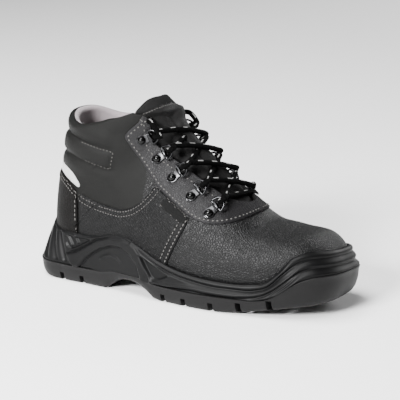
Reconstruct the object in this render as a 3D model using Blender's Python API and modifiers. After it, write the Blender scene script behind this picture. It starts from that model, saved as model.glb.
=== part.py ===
"""Safety ankle boot for the right foot, as an assembly of separate solids.

Metres, +Z up, toe towards +X, wearer's left towards +Y, so the outer side faces -Y. The boot stands on its
sole, and its origin is the middle of its footprint. Tables and shape functions work in millimetres.
"""

import math

import bmesh
import bpy
import numpy as np
from mathutils import Matrix, Vector
from mathutils.bvhtree import BVHTree

MM = 0.001
LATERAL, MEDIAL = -1, 1

# Clearances and thicknesses
GAP = 0.3
CUP_GAP = 0.8
CUP_HOLLOW = 0.9
CUP_LEVELS = (0.0, 0.25, 0.5, 0.78, 1.0)
LEATHER = 1.4
WALL = 2.6
COLLAR_WALL = 8.5
TONGUE_PAD = 5.0
TONGUE_DEPTH = 3.8
INSOLE = 4.0
INSOLE_INSET = 3.2
FLOOR_LIFT = 1.2
FLOOR_CLEAR = 2.5

# Sections of the last, from the toe to above the collar. Each is a ring in a plane across the boot: back is
# its end under the foot or up the heel, front its end over the vamp or up the throat, lateral and medial its
# half widths, widest the share of the way up where it is widest, and dip how far its sides drop below its plane.
SECTION_COLUMNS = ("back_x", "back_z", "front_x", "front_z", "lateral", "medial", "centre",
                   "widest", "low_power", "high_power", "dip")
SECTIONS = (
    (138.5, 27.2, 138.5, 27.6, 11.0, 10.5, 13.5, 0.50, 2.5, 2.2, 0.0),
    (134.5, 26.0, 139.5, 43.5, 21.0, 20.0, 13.5, 0.45, 4.0, 2.4, 0.0),
    (126.0, 25.0, 134.5, 55.5, 34.5, 32.5, 13.0, 0.42, 5.0, 2.4, 0.0),
    (110.5, 23.0, 120.0, 66.0, 43.5, 41.0, 11.5, 0.38, 5.0, 2.5, 0.0),
    (88.0, 20.5, 96.0, 69.0, 48.5, 45.0, 9.0, 0.36, 5.0, 2.5, 0.0),
    (58.0, 18.5, 72.0, 76.0, 51.5, 47.0, 6.0, 0.34, 5.0, 2.2, 0.0),
    (25.0, 19.0, 52.0, 92.0, 51.5, 45.5, 3.0, 0.30, 5.0, 2.0, 0.0),
    (-8.0, 21.5, 34.0, 108.0, 48.0, 43.0, 0.5, 0.28, 5.0, 1.9, 0.0),
    (-40.0, 25.0, 18.0, 121.5, 44.5, 41.0, -0.5, 0.28, 5.0, 1.9, 0.0),
    (-72.0, 28.0, 5.5, 134.0, 41.0, 39.0, 0.0, 0.30, 4.5, 1.9, 0.0),
    (-100.0, 29.5, -4.0, 145.0, 38.0, 37.0, 0.0, 0.32, 5.0, 1.95, 0.0),
    (-122.0, 30.5, -9.5, 152.0, 37.0, 36.5, 0.0, 0.36, 4.4, 2.0, 0.0),
    (-135.5, 42.0, -13.5, 156.0, 37.0, 36.5, 0.0, 0.42, 3.2, 2.1, 0.0),
    (-138.5, 68.0, -16.0, 158.8, 37.5, 37.0, 0.0, 0.48, 2.5, 2.1, 0.0),
    (-134.5, 100.0, -18.0, 161.0, 38.5, 38.0, 0.0, 0.50, 2.3, 2.1, 1.0),
    (-128.0, 130.0, -20.0, 163.2, 39.5, 39.0, 0.0, 0.50, 2.3, 2.1, 5.0),
    (-124.0, 153.0, -22.5, 166.0, 39.5, 39.0, 0.0, 0.50, 2.3, 2.1, 10.0),
    (-119.0, 174.0, -30.5, 177.0, 39.0, 39.0, 0.0, 0.50, 2.3, 2.1, 10.0),
)
DIP_COLUMNS = ("scale", "power", "skew")
DIP_SHAPE = {LATERAL: (1.0, 2.0, 1.2), MEDIAL: (1.3, 3.0, 0.8)}
BED_SECTIONS = 10
COLLAR, LAST_END = 16.0, 16.9
TURN_EDGE = 0.02
PADDING_RISE, PADDING_END = (112.0, 138.0), (-68.0, -52.0)
THROAT = 5.7
THROAT_ROUND = 0.9
THROAT_HALF_LOW, THROAT_HALF_TOP = 20.0, 26.0
CORNER_FROM, CORNER_WIDTH, CORNER_POWER = 14.2, 6.5, 1.5
ROUND_STEPS = 8
SHARP_EDGE = math.radians(35)

# Half widths of the tongue by section, and how far the lace presses its middle in
TONGUE_HALF = ((5.1, 14), (5.6, 24), (7, 28), (9, 29.5), (12, 30), (15, 29.5), (16, 28), (16.4, 25),
               (16.7, 20), (16.9, 13), (17, 7))
TONGUE_SINK = ((5, 0), (8, 1), (12, 4.5), (14, 4.5), (15.8, 0), (17, 0))
TONGUE_WIDEST = 0.985
TONGUE_ROWS = 16
TONGUE_STEPS = 4

# Leather pieces laid on the upper, as outlines in the side view
EYESTAY = ((-36, 175), (-35, 157), (-49, 144), (-50.5, 139), (-41, 124), (-18, 100), (-3, 91), (21, 77),
           (31, 74.5), (44, 73.5), (56, 75.5), (67, 79.5), (80, 88), (90, 120), (20, 175))
QUARTER_TOP = ((-100, 85.5), (-88, 80), (-76, 77), (-54, 74.5), (-42, 77.5), (-33, 83), (-24, 92), (-19, 100))
QUARTER_FRONT = ((-3.4, 90.4), (20.6, 76.2), (12, 58), (2, 37))
QUARTER_BACK = -100.0
COUNTER = ((-155, 101), (-137, 100), (-121, 96.5), (-110, 91), (-101, 84.5))
COUNTER_EDGE = -100.6
REFLECTIVE = ((-155, 110), (-137, 109), (-119, 107), (-107, 102), (-98, 92), (-99, 88.5), (-110, 93.4),
              (-121, 98.2), (-137, 101.2), (-155, 102))
LABEL = ((-5.4, 91.2), (19.4, 76.4), (13.6, 70.4), (-11, 84.6))
LABEL_THICK = 0.8
SOLE_CLEAR = 1.0
FOOT_STEP = 10.0
COUNTER_SEAT = (-112, -124, -132, -138)
PRISM_REACH = 100.0

# Rivets of the lacing eyelets in the side view, from the top down
RIVETS = ((-36.5, 138.0), (-21.0, 122.0), (-3.5, 107.5), (17.0, 94.0), (36.0, 81.5))
RIVET_SIDES = 8
EYELET_SEARCH = (400, 300)
RIVET_PROFILE = ((0.0, 0.0), (3.1, 0.0), (2.9, 1.1), (1.9, 2.0), (0.0, 2.5))
PLATE_LIFT = 2.4
PLATE_TAIL, PLATE_HALF, PLATE_THICK = 5.2, 4.4, 0.85
LOOP_AT, LOOP_RADIUS, LOOP_TURN, LOOP_STEPS = 7.0, 2.35, 160, 7
WIRE = 1.0
RING_HALF, RING_REACH, RING_STEPS = 6.2, 9.0, 7
RING_TILT = {LATERAL: math.radians(28), MEDIAL: math.radians(50)}
LACE_RADIUS, LACE_STEPS = 2.0, 5
LACE_REACH, LACE_STUB, LACE_PITCH, LACE_WEAVE = 10.4, 2.2, 2.6, 1.0
LACE_UP = (0.5, 0.0, 0.866)
LACE_BOWS = (6.0, 5.0, 6.0, 5.0, 1.5)

# Lines along the sole, as (x, height) or (x, width): the top of its side, the line between midsole and
# outsole, the tread under it, and how far the outsole stands out from the upper.
SOLE_TOP = ((-138, 54), (-132, 52.5), (-124, 47.5), (-112, 46.5), (-90, 46), (-74, 48), (-60, 51.5),
            (-46, 51.5), (-30, 46.5), (-10, 38), (15, 31), (40, 27.5), (65, 26.5), (85, 28.5), (100, 38),
            (113, 49.5), (126, 53.5), (136, 54.5), (140, 54.5))
PART_LINE = ((-138, 16.5), (-100, 16), (-75, 16), (-58, 18.5), (-30, 18.5), (-8, 15), (15, 14.5), (60, 14.5),
             (80, 14.5), (92, 16.5), (104, 22), (118, 32), (132, 36.5), (140, 37.5))
TREAD_LINE = ((-138, 2.5), (-128, 0.6), (-120, 0), (-70, 0), (-62, 5), (-52, 11), (-40, 12.5), (-30, 11),
              (-20, 6), (-12, 0.8), (-6, 0), (48, 0), (70, 2.2), (93, 6), (106, 8.5), (120, 10.5), (143, 13))
FLARE = ((-138, 22), (-128, 17), (-112, 9), (-80, 6), (-45, 4), (-15, 4.5), (40, 5.5), (80, 6), (110, 7.5),
         (130, 8.5), (143, 9))
HEEL_CENTRE, TOE_CENTRE = (-100.0, 0.0), (86.0, 5.0)
MEASURE_HEIGHT = 40.0
HEEL_STATIONS, TOE_STATIONS = 12, 10
SIDE_X = (-100, -92, -84, -76, -69, -62, -55, -48, -42, -36, -30, -23, -14, 0, 18, 38, 60, 86)
RIB_LEAN = 0.3
LIP = 3.0
THINNEST = 1.8

# Relief of the midsole's side at levels from the parting line up to its top edge.
SIDE_LEVELS = (0.0, 0.09, 0.18, 0.28, 0.38, 0.48, 0.58, 0.68, 0.78, 0.87, 0.95, 1.0)
FOREFOOT_RELIEF = (-0.8, 0.3, 0.5, -0.2, -1.4, -1.8, -1.6, -0.8, 0.3, 0.8, 0.5, -0.6)
TOE_RELIEF = (-0.8, 0.5, 0.5, -0.6, 0.7, 0.7, -0.6, 0.7, 0.7, -0.4, 0.4, -0.6)
HEEL_RELIEF = (-0.8, 0.0, 0.0, 0.0, 0.0, 0.0, 0.0, 0.0, 0.0, 0.0, 0.0, -0.6)
FOREFOOT_FROM, TOE_FROM = (-24.0, -4.0), (86.0, 106.0)
RIB = 1.5
RIB_STATIONS = 8
SWOOSH = ((-112, 19), (-100, 25), (-86, 34), (-70, 43), (-58, 46), (-46, 45.5), (-37, 41.5), (-29, 34),
          (-23, 24), (-19, 15))
SWOOSH_HALF, SWOOSH_RISE, SWOOSH_SOFT = 5.0, 1.8, 1.5

# Insets of the outsole's side at shares of its height, doubled or more round the toe
TREAD_LEVELS = (0.0, 0.22, 0.55, 0.93, 1.0)
TREAD_INSETS = (4.5, 1.6, 0.4, 0.0, 0.8)
TOE_INSET, TOE_INSET_FROM = 1.3, (95.0, 135.0)
SEAT_INSET, SEAT_DEPTH = 8.0, 6.0
GROOVE_DEPTH, GROOVE_WIDTH, GROOVE_SWEEP, GROOVE_REACH = 7.5, 4.5, 0.18, 90.0
GROOVE_DROP = 1.0
GROOVES = (-109.5, -87.0, 7.5, 29.5, 56.5, 81.5, 107.5)
CHANNEL_WIDTH, CHANNEL_DEPTH = 5.0, 4.6
CHANNELS = ((-124, -74), (-4, 88))


def spline(values, at):
    """A smooth curve through values at 0, 1, 2 and so on."""
    values = np.asarray(values, float)
    last = len(values) - 1
    low = np.clip(np.floor(at).astype(int), 0, last - 1)
    f = at - low
    a, b = values[np.maximum(low - 1, 0)], values[low]
    c, d = values[low + 1], values[np.minimum(low + 2, last)]
    return b + 0.5 * f * (c - a + f * (2 * a - 5 * b + 4 * c - d + f * (3 * (b - c) + d - a)))


def along(table, x):
    """A smooth curve through (x, value) rows that never overshoots them."""
    xs, ys = np.array(table, float).T
    step, slope = np.diff(xs), np.diff(ys) / np.diff(xs)
    inner = np.where(slope[:-1] * slope[1:] > 0,
                     2 * slope[:-1] * slope[1:] / (slope[:-1] + slope[1:] + 1e-12), 0.0)
    tangent = np.concatenate([slope[:1], inner, slope[-1:]])
    x = np.clip(x, xs[0], xs[-1])
    i = np.clip(np.searchsorted(xs, x) - 1, 0, len(xs) - 2)
    f, h = (x - xs[i]) / step[i], step[i]
    rise = ys[i + 1] - ys[i]
    return (ys[i] + f * h * tangent[i] + f * f * (3 * rise - h * (2 * tangent[i] + tangent[i + 1]))
            + f ** 3 * (h * (tangent[i] + tangent[i + 1]) - 2 * rise))


def ease(low, high, value):
    """0 below low, 1 above high, smooth between."""
    f = np.clip((value - low) / (high - low), 0.0, 1.0)
    return f * f * (3 - 2 * f)


def signed_power(value, power):
    return np.sign(value) * np.abs(value) ** power


def section(u):
    columns = np.array(SECTIONS).T
    return {name: spline(column, np.asarray(u, float)) for name, column in zip(SECTION_COLUMNS, columns)}


def last_point(u, phi, side):
    """A point of the last: phi turns from 0 at a section's back end to pi at its front end."""
    s = section(u)
    half = s["lateral"] if side == LATERAL else s["medial"]
    cosine, sine = np.cos(phi), np.sin(phi)
    power = 2 / np.where(cosine > 0, s["low_power"], s["high_power"])
    reach = np.abs(cosine) ** power
    rise = np.where(cosine > 0, s["widest"] * (1 - reach), s["widest"] + (1 - s["widest"]) * reach)
    x = s["back_x"] + rise * (s["front_x"] - s["back_x"])
    z = s["back_z"] + rise * (s["front_z"] - s["back_z"])
    dip = dict(zip(DIP_COLUMNS, DIP_SHAPE[side]))
    z = z - s["dip"] * dip["scale"] * np.abs(sine) ** dip["power"] * (1 + dip["skew"] * cosine)
    return np.stack([x, s["centre"] + side * half * signed_power(sine, power), z], axis=-1)


def last_normal(u, phi, side):
    u, phi = np.clip(u, 0.1, LAST_END), np.clip(phi, TURN_EDGE, math.pi - TURN_EDGE)
    du, dphi = 0.02, 0.01
    down = last_point(u + du, phi, side) - last_point(u - du, phi, side)
    across = last_point(u, phi + dphi, side) - last_point(u, phi - dphi, side)
    normal = np.cross(down, across) * side
    return normal / np.linalg.norm(normal, axis=-1, keepdims=True)


def bed(x):
    """Height of the last's underside."""
    s = section(np.linspace(1, BED_SECTIONS, 100))
    return np.interp(x, s["back_x"][::-1], s["back_z"][::-1])


def feather_angle(u, side):
    """Where a section meets the sole's floor: its wall starts there."""
    low, high = np.zeros_like(u), np.full_like(u, math.pi / 2)
    for _ in range(30):
        middle = (low + high) / 2
        p = last_point(u, middle, side)
        under = p[..., 2] < bed(p[..., 0]) + FLOOR_LIFT + GAP
        low, high = np.where(under, middle, low), np.where(under, high, middle)
    return np.where(high < 1e-6, 0.0, high)


def throat_angle(u, side):
    """Where a section stops at the throat's edge, or pi over the vamp."""
    s = section(u)
    half = s["lateral"] if side == LATERAL else s["medial"]
    rounding = np.sqrt(1 - (1 - np.clip((u - THROAT) / THROAT_ROUND, 0, 1)) ** 2)
    up = np.clip((u - THROAT) / (COLLAR - THROAT), 0, 1)
    gap = (THROAT_HALF_LOW + (THROAT_HALF_TOP - THROAT_HALF_LOW) * up) * rounding
    corner = np.clip((u - CORNER_FROM) / (COLLAR - CORNER_FROM), 0, 1)
    gap = gap + CORNER_WIDTH * corner ** CORNER_POWER
    return math.pi - np.arcsin((gap / np.maximum(half, gap + 1e-9)) ** (s["high_power"] / 2))


def new_object(name, mesh, material):
    obj = bpy.data.objects.new(name, mesh)
    mesh.materials.append(material)
    mesh.shade_smooth()
    mesh.set_sharp_from_angle(angle=SHARP_EDGE)
    PARTS.objects.link(obj)
    obj.parent = BOOT
    return obj


def mesh_of(name, points, faces, closed=True):
    """A mesh from millimetre points, with its doubled points joined and a closed one's faces pointing out."""
    made = bmesh.new()
    verts = [made.verts.new(Vector(p) * MM) for p in points]
    for face in faces:
        made.faces.new([verts[i] for i in face])
    loose = [v for v in made.verts if not v.link_faces]
    bmesh.ops.delete(made, geom=loose, context="VERTS")
    bmesh.ops.remove_doubles(made, verts=made.verts, dist=1e-6)
    if closed:
        bmesh.ops.recalc_face_normals(made, faces=made.faces)
    bmesh.ops.triangulate(made, faces=made.faces, quad_method="SHORT_EDGE")
    mesh = bpy.data.meshes.new(name)
    made.to_mesh(mesh)
    made.free()
    return mesh


def material(name, colour, roughness, metallic=0.0):
    made = bpy.data.materials.new(name)
    made.use_nodes = True
    shader = made.node_tree.nodes["Principled BSDF"]
    shader.inputs["Base Color"].default_value = (*colour, 1.0)
    shader.inputs["Roughness"].default_value = roughness
    shader.inputs["Metallic"].default_value = metallic
    return made


def grid_faces(rows, columns, start=0):
    return [(start + r * columns + c, start + r * columns + c + 1,
             start + (r + 1) * columns + c + 1, start + (r + 1) * columns + c)
            for r in range(rows - 1) for c in range(columns - 1)]


def upper_rows():
    """Sections of the upper's mesh, closer at the toe, the throat's end and the heel's seat."""
    fine = np.linspace(BED_SECTIONS, BED_SECTIONS + 2, 2001)
    closing = fine[np.argmax(section(fine)["back_z"] > bed(section(fine)["back_x"]) + FLOOR_LIFT + GAP)]
    extra = [0.25, THROAT, THROAT + 0.1, THROAT + 0.24, closing - 0.3, closing - 0.1, closing]
    even = [np.arange(0, 7.01, 0.5), np.arange(8, 11), np.arange(11, COLLAR + 0.01, 0.5)]
    rows = np.concatenate(even + [extra])
    return np.unique(rows[(np.abs(rows - closing) > 0.2) | np.isin(rows, extra)])


def upper_grid(offset):
    """Points and faces of the upper's outer surface, moved outwards by offset."""
    points, faces = [], []
    rows = upper_rows()
    for side in (LATERAL, MEDIAL):
        low, high = feather_angle(rows, side), throat_angle(rows, side)
        share = np.linspace(0, 1, ROUND_STEPS + 1)
        phi = low[:, None] + (math.pi - low)[:, None] * share - (math.pi - high)[:, None] * share ** 3
        u = np.broadcast_to(rows[:, None], phi.shape)
        grid = last_point(u, phi, side)
        normal = last_normal(u, phi, side)
        for column, turn, closed in ((0, 0.0, low == 0), (-1, math.pi, high == math.pi)):
            middle = last_normal(rows, np.full(len(rows), turn), LATERAL)
            normal[closed, column] = middle[closed] * np.array((1.0, 0.0, 1.0))
        grid = grid + offset * normal
        found = grid_faces(len(rows), ROUND_STEPS + 1, len(points))
        faces += found if side == LATERAL else [f[::-1] for f in found]
        points += grid.reshape(-1, 3).tolist()
    return points, faces


def rays(side):
    """Where the sole's outline is measured: origin, turn from the heel's back to the toe, and ribs' lean."""
    heel, toe = np.array(HEEL_CENTRE), np.array(TOE_CENTRE)
    right = math.pi / 2
    found = []
    for k in range(HEEL_STATIONS):
        turn = right * k / HEEL_STATIONS
        found.append((heel, turn, RIB_LEAN * math.sin(2 * turn)))
    for x in SIDE_X:
        found.append((heel + (x - heel[0]) / (toe[0] - heel[0]) * (toe - heel), right, 0.0))
    for k in range(1, TOE_STATIONS + 1):
        found.append((toe, right * (1 + k / TOE_STATIONS), 0.0))
    return [(origin, turn, lean, side) for origin, turn, lean in found]


def ray_loop():
    """All the rays in order round the sole: heel's back, outer side, toe, inner side."""
    return rays(LATERAL) + rays(MEDIAL)[-2:0:-1]


def reach(tree, ray, height, level=1.0):
    """Distance from a ray's origin out to a surface, with the ray's direction there."""
    origin, turn, lean, side = ray
    turn += lean * (1 - level)
    direction = np.array((-math.cos(turn), side * math.sin(turn)))
    hit = tree.ray_cast(Vector((*origin, height)), Vector((*direction, 0.0)))
    return hit[3], direction


class Station:
    """The sole's measures along one ray."""

    def __init__(self, tree, inner, ray, index):
        self.tree, self.inner, self.ray = tree, inner, ray
        self.rib = index
        distance, direction = reach(tree, ray, MEASURE_HEIGHT)
        self.x = ray[0][0] + direction[0] * distance
        self.floor = float(bed(self.x)) + FLOOR_LIFT
        self.top = float(along(SOLE_TOP, self.x))
        self.part = float(along(PART_LINE, self.x))
        self.tread = float(along(TREAD_LINE, self.x))
        self.outline = distance + float(along(FLARE, self.x))
        self.seat = min(self.part, self.floor - SEAT_DEPTH)

    def upper(self, height, level=1.0):
        return reach(self.tree, self.ray, max(height, self.floor + FLOOR_CLEAR), level)

    def point(self, distance, direction, height):
        return (*(self.ray[0] + direction * distance), height)

    def relief(self, x, z, level):
        """How far the midsole's side stands out at one of its levels."""
        toe = float(ease(*TOE_FROM, self.x))
        fore = float(ease(*FOREFOOT_FROM, self.x)) * (1 - toe)
        found = fore * FOREFOOT_RELIEF[level] + toe * TOE_RELIEF[level]
        found += (1 - fore - toe) * HEEL_RELIEF[level]
        inside = 1 < level < len(SIDE_LEVELS) - 1
        if self.rib < RIB_STATIONS and self.rib % 2 and inside:
            found += RIB
        if inside:
            away = min(distance_to(x, z, a, b) for a, b in zip(SWOOSH, SWOOSH[1:]))
            edge = ease(SWOOSH_HALF - SWOOSH_SOFT, SWOOSH_HALF + SWOOSH_SOFT, away)
            found += SWOOSH_RISE * (1 - float(edge))
        return found

    def side(self, level):
        """A point of the midsole's outer side."""
        f = SIDE_LEVELS[level]
        low = self.part + GAP
        z = low + (self.top - low) * f
        wall, direction = self.upper(z, f)
        brim = self.upper(self.top)[0] + CUP_GAP + LIP
        distance = self.outline + (brim - self.outline) * f
        distance += self.relief(self.ray[0][0] + direction[0] * distance, z, level)
        return self.point(max(distance, wall + CUP_GAP + THINNEST), direction, z)

    def cup(self, f):
        """A point of the midsole's inner side, from its top edge down to its floor."""
        z = self.top + (self.floor - self.top) * f
        distance, direction = self.upper(z)
        return self.point(distance + CUP_GAP + CUP_HOLLOW * math.sin(math.pi * f), direction, z)

    def seat_point(self, lift):
        direction = self.upper(self.top, 0.0)[1]
        return self.point(self.outline - SEAT_INSET, direction, self.seat + lift)

    def sole_point(self, g, inset):
        direction = self.upper(self.top, 0.0)[1]
        if g < 1:
            inset *= 1 + TOE_INSET * float(ease(*TOE_INSET_FROM, self.x))
        return self.point(self.outline - inset, direction, self.tread + (self.part - self.tread) * g)

    def insole_point(self, lift):
        heights = np.linspace(self.floor + GAP, self.floor + GAP + INSOLE + 1.0, 7)
        found = [reach(self.inner, self.ray, z) for z in heights]
        distance = min(d for d, _ in found if d is not None)
        return self.point(distance - INSOLE_INSET, found[0][1], self.floor + lift)


def distance_to(x, z, a, b):
    """Distance in the side view from a point to the line between a and b."""
    run, rise = b[0] - a[0], b[1] - a[1]
    f = min(max(((x - a[0]) * run + (z - a[1]) * rise) / (run * run + rise * rise), 0.0), 1.0)
    return math.hypot(x - a[0] - f * run, z - a[1] - f * rise)


def ring_solid(name, rings):
    """A solid from rings of points: walls between them, and strips across the first and the last."""
    count = len(rings[0])
    points = [p for ring in rings for p in ring]
    faces = []
    for r in range(len(rings) - 1):
        for i in range(count):
            j = (i + 1) % count
            faces.append((r * count + i, r * count + j, (r + 1) * count + j, (r + 1) * count + i))
    for start in (0, (len(rings) - 1) * count):
        for i in range(count // 2):
            corners = [i, i + 1, (count - i - 1) % count, (count - i) % count]
            faces.append([start + c for c in dict.fromkeys(corners)])
    return mesh_of(name, points, faces)


def box_between(name, low, high, turn=0.0, at=(0.0, 0.0, 0.0)):
    """A cutter: a box from low to high, turned about Z and moved to a place."""
    bpy.ops.mesh.primitive_cube_add(size=1.0)
    made = bpy.context.object
    made.name = name
    low, high = np.array(low, float), np.array(high, float)
    made.data.transform(matrix_of(high - low, (low + high) / 2, turn, at))
    return as_cutter(made)


def matrix_of(scale, centre, turn, at):
    move = Matrix.Translation(Vector(at) * MM) @ Matrix.Rotation(turn, 4, "Z")
    return move @ Matrix.Translation(Vector(centre) * MM) @ Matrix.Diagonal((*(Vector(scale) * MM), 1.0))


def as_cutter(obj):
    for collection in list(obj.users_collection):
        collection.objects.unlink(obj)
    CUTTERS.objects.link(obj)
    obj.hide_render = True
    obj.display_type = "WIRE"
    obj.parent = BOOT
    return obj


def cut(obj, cutter, operation="DIFFERENCE"):
    made = obj.modifiers.new(cutter.name, "BOOLEAN")
    made.operation = operation
    made.solver = "EXACT"
    made.object = cutter


def make_sole():
    points, faces = upper_grid(0.0)
    tree = BVHTree.FromPolygons(points, faces)
    points, faces = upper_grid(-WALL)
    inner = BVHTree.FromPolygons(points, faces)
    loop = ray_loop()
    ribs = [min(i, len(loop) - i) for i in range(len(loop))]
    stations = [Station(tree, inner, ray, rib) for ray, rib in zip(loop, ribs)]
    rings = [[s.seat_point(2 * GAP) for s in stations]]
    rings += [[s.side(level) for s in stations] for level in range(len(SIDE_LEVELS))]
    rings += [[s.cup(f) for s in stations] for f in CUP_LEVELS]
    rubber = material("sole_rubber", (0.018, 0.018, 0.019), 0.55)
    new_object("midsole", ring_solid("midsole", rings), rubber)
    rings = [[s.sole_point(g, inset) for s in stations] for g, inset in zip(TREAD_LEVELS, TREAD_INSETS)]
    rings.append([s.seat_point(0.0) for s in stations])
    rubber = material("tread_rubber", (0.016, 0.016, 0.017), 0.6)
    outsole = new_object("outsole", ring_solid("outsole", rings), rubber)
    for x in GROOVES:
        for side in (LATERAL, MEDIAL):
            half, far = GROOVE_WIDTH / 2, sorted((0.0, side * GROOVE_REACH))
            low, high = (-half, far[0], -GROOVE_DROP), (half, far[1], GROOVE_DEPTH)
            lift = float(along(TREAD_LINE, x))
            cut(outsole, box_between("groove", low, high, side * GROOVE_SWEEP, (x, 0.0, lift)))
    half = CHANNEL_WIDTH / 2
    for start, end in CHANNELS:
        cut(outsole, box_between("channel", (start, -half, -GROOVE_DROP), (end, half, CHANNEL_DEPTH)))
    rings = [[s.insole_point(lift) for s in stations] for lift in (GAP, GAP + INSOLE)]
    new_object("insole", ring_solid("insole", rings), material("insole_felt", (0.12, 0.12, 0.12), 0.9))


def make_upper():
    """The hollow upper: a thin wall, padded inwards round the collar."""
    points, faces = upper_grid(0.0)
    leather = material("leather", (0.02, 0.02, 0.02), 0.5)
    upper = new_object("upper", mesh_of("upper", points, faces, closed=False), leather)
    group = upper.vertex_groups.new(name="padding")
    for vertex in upper.data.vertices:
        x, _, z = vertex.co / MM
        padded = float(ease(*PADDING_RISE, z) * (1 - ease(*PADDING_END, x)))
        group.add([vertex.index], (WALL + (COLLAR_WALL - WALL) * padded) / COLLAR_WALL, "REPLACE")
    wall = upper.modifiers.new("wall", "SOLIDIFY")
    wall.thickness = COLLAR_WALL * MM
    wall.offset = -1
    wall.vertex_group = group.name
    wall.thickness_vertex_group = 0.0


def prism(name, outline, low, high):
    """A cutter: a side view outline drawn out across the boot."""
    count = len(outline)
    points = [(x, y, z) for y in (low, high) for x, z in outline]
    faces = [tuple(range(count)), tuple(range(count, 2 * count))]
    faces += [(i, (i + 1) % count, count + (i + 1) % count, count + i) for i in range(count)]
    made = bpy.data.objects.new(name, mesh_of(name, points, faces))
    CUTTERS.objects.link(made)
    return as_cutter(made)


def overlay(name, outline, shader, low=-PRISM_REACH, high=PRISM_REACH, lift=GAP, thick=LEATHER):
    """A leather piece: the part of a shell round the upper that lies in a side view outline."""
    points, faces = upper_grid(lift)
    (left, bottom), (right, top) = np.min(outline, axis=0), np.max(outline, axis=0)
    kept = []
    for face in faces:
        corners = np.array([points[i] for i in face])
        near = corners[:, 0].max() > left and corners[:, 0].min() < right
        near = near and corners[:, 2].max() > bottom and corners[:, 2].min() < top
        if near and corners[:, 1].max() > low and corners[:, 1].min() < high:
            kept.append(face)
    made = new_object(name, mesh_of(name, points, kept, closed=False), shader)
    shell = made.modifiers.new("leather", "SOLIDIFY")
    shell.thickness = thick * MM
    shell.offset = 1
    cut(made, prism(name + "_outline", outline, low, high), "INTERSECT")


def sole_edge(places):
    """Side view points just above the sole's top edge."""
    return [(x, float(along(SOLE_TOP, x)) + SOLE_CLEAR) for x in places]


def make_overlays():
    leather = material("overlay_leather", (0.022, 0.022, 0.022), 0.5)
    overlay("eyestay", EYESTAY, leather)
    foot = sole_edge(np.arange(0, QUARTER_BACK - 1, -FOOT_STEP))
    quarter = list(QUARTER_TOP) + list(QUARTER_FRONT) + foot
    overlay("quarter_lateral", quarter, leather, high=0.0)
    overlay("quarter_medial", quarter, leather, low=0.0)
    seat = sole_edge((COUNTER_EDGE, *COUNTER_SEAT))
    overlay("heel_counter", list(COUNTER) + seat + [(COUNTER[0][0], seat[-1][1])], leather)
    overlay("reflective_strip", REFLECTIVE, material("reflective", (0.75, 0.75, 0.75), 0.4))
    overlay("label_tab", LABEL, material("label", (0.03, 0.03, 0.03), 0.8), high=0.0,
            lift=2 * GAP + LEATHER, thick=LABEL_THICK)


def spread(u, half_gap, side):
    """The turn at which a section is half_gap away from its middle, on the throat's side."""
    s = section(u)
    half = s["lateral"] if side == LATERAL else s["medial"]
    share = np.clip(half_gap / half, 0.0, TONGUE_WIDEST)
    return math.pi - np.arcsin(share ** (s["high_power"] / 2))


def make_tongue():
    """A padded leaf under the throat, from beneath the vamp to above the collar."""
    rows = np.linspace(TONGUE_HALF[0][0], TONGUE_HALF[-1][0], TONGUE_ROWS)
    halves = along(TONGUE_HALF, rows)
    points, faces = [], []
    for side in (LATERAL, MEDIAL):
        edge = spread(rows, halves, side)
        share = np.linspace(0, 1, TONGUE_STEPS + 1)
        phi = math.pi - (math.pi - edge)[:, None] * share
        u = np.broadcast_to(rows[:, None], phi.shape)
        depth = TONGUE_DEPTH + along(TONGUE_SINK, rows)[:, None] * (1 - share ** 2)
        normal = last_normal(u, phi, side)
        normal[:, 0] = last_normal(rows, phi[:, 0], LATERAL) * np.array((1.0, 0.0, 1.0))
        grid = last_point(u, phi, side) - depth[..., None] * normal
        found = grid_faces(len(rows), TONGUE_STEPS + 1, len(points))
        faces += found if side == MEDIAL else [f[::-1] for f in found]
        points += grid.reshape(-1, 3).tolist()
    cloth = material("tongue", (0.03, 0.03, 0.03), 0.7)
    tongue = new_object("tongue", mesh_of("tongue", points, faces, closed=False), cloth)
    pad = tongue.modifiers.new("pad", "SOLIDIFY")
    pad.thickness = TONGUE_PAD * MM
    pad.offset = -1


def place(x, z, side):
    """The section and turn of the surface point seen at x, z from the side."""
    rows, turns = EYELET_SEARCH
    sections, angles = np.linspace(THROAT, COLLAR, rows), np.linspace(math.pi / 2, math.pi, turns)
    u, phi = np.meshgrid(sections, angles, indexing="ij")
    seen = last_point(u, phi, side)
    best = np.argmin(np.hypot(seen[..., 0] - x, seen[..., 2] - z))
    return u.flat[best], phi.flat[best]


class Eyelet:
    """A local frame at a rivet: across points to the throat, down along it, and out off the leather."""

    def __init__(self, x, z, side):
        u, phi = place(x, z, LATERAL)
        at, turn = np.array(u), np.array(phi)
        self.origin = last_point(at, turn, side)
        self.out = last_normal(at, turn, side)
        across = last_point(at, turn + 0.02, side) - last_point(at, turn - 0.02, side)
        across -= self.out * (across @ self.out)
        self.across = across / np.linalg.norm(across)
        self.down = np.cross(self.out, self.across) * side
        self.tilt = RING_TILT[side]

    def at(self, across, down, out):
        return self.origin + across * self.across + down * self.down + out * self.out

    def ring_at(self, down, reach_out):
        """A point in the plane of the D-ring, which leans out from its bar."""
        return self.at(LOOP_AT + reach_out * math.cos(self.tilt), down,
                       PLATE_LIFT + LOOP_RADIUS + reach_out * math.sin(self.tilt))

    @staticmethod
    def frame(origin, first, second):
        """The placing of a piece whose own X and Y axes run along first and second."""
        axes = Matrix([first, second, np.cross(first, second)]).transposed().to_4x4()
        return Matrix.Translation(Vector(origin) * MM) @ axes


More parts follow.
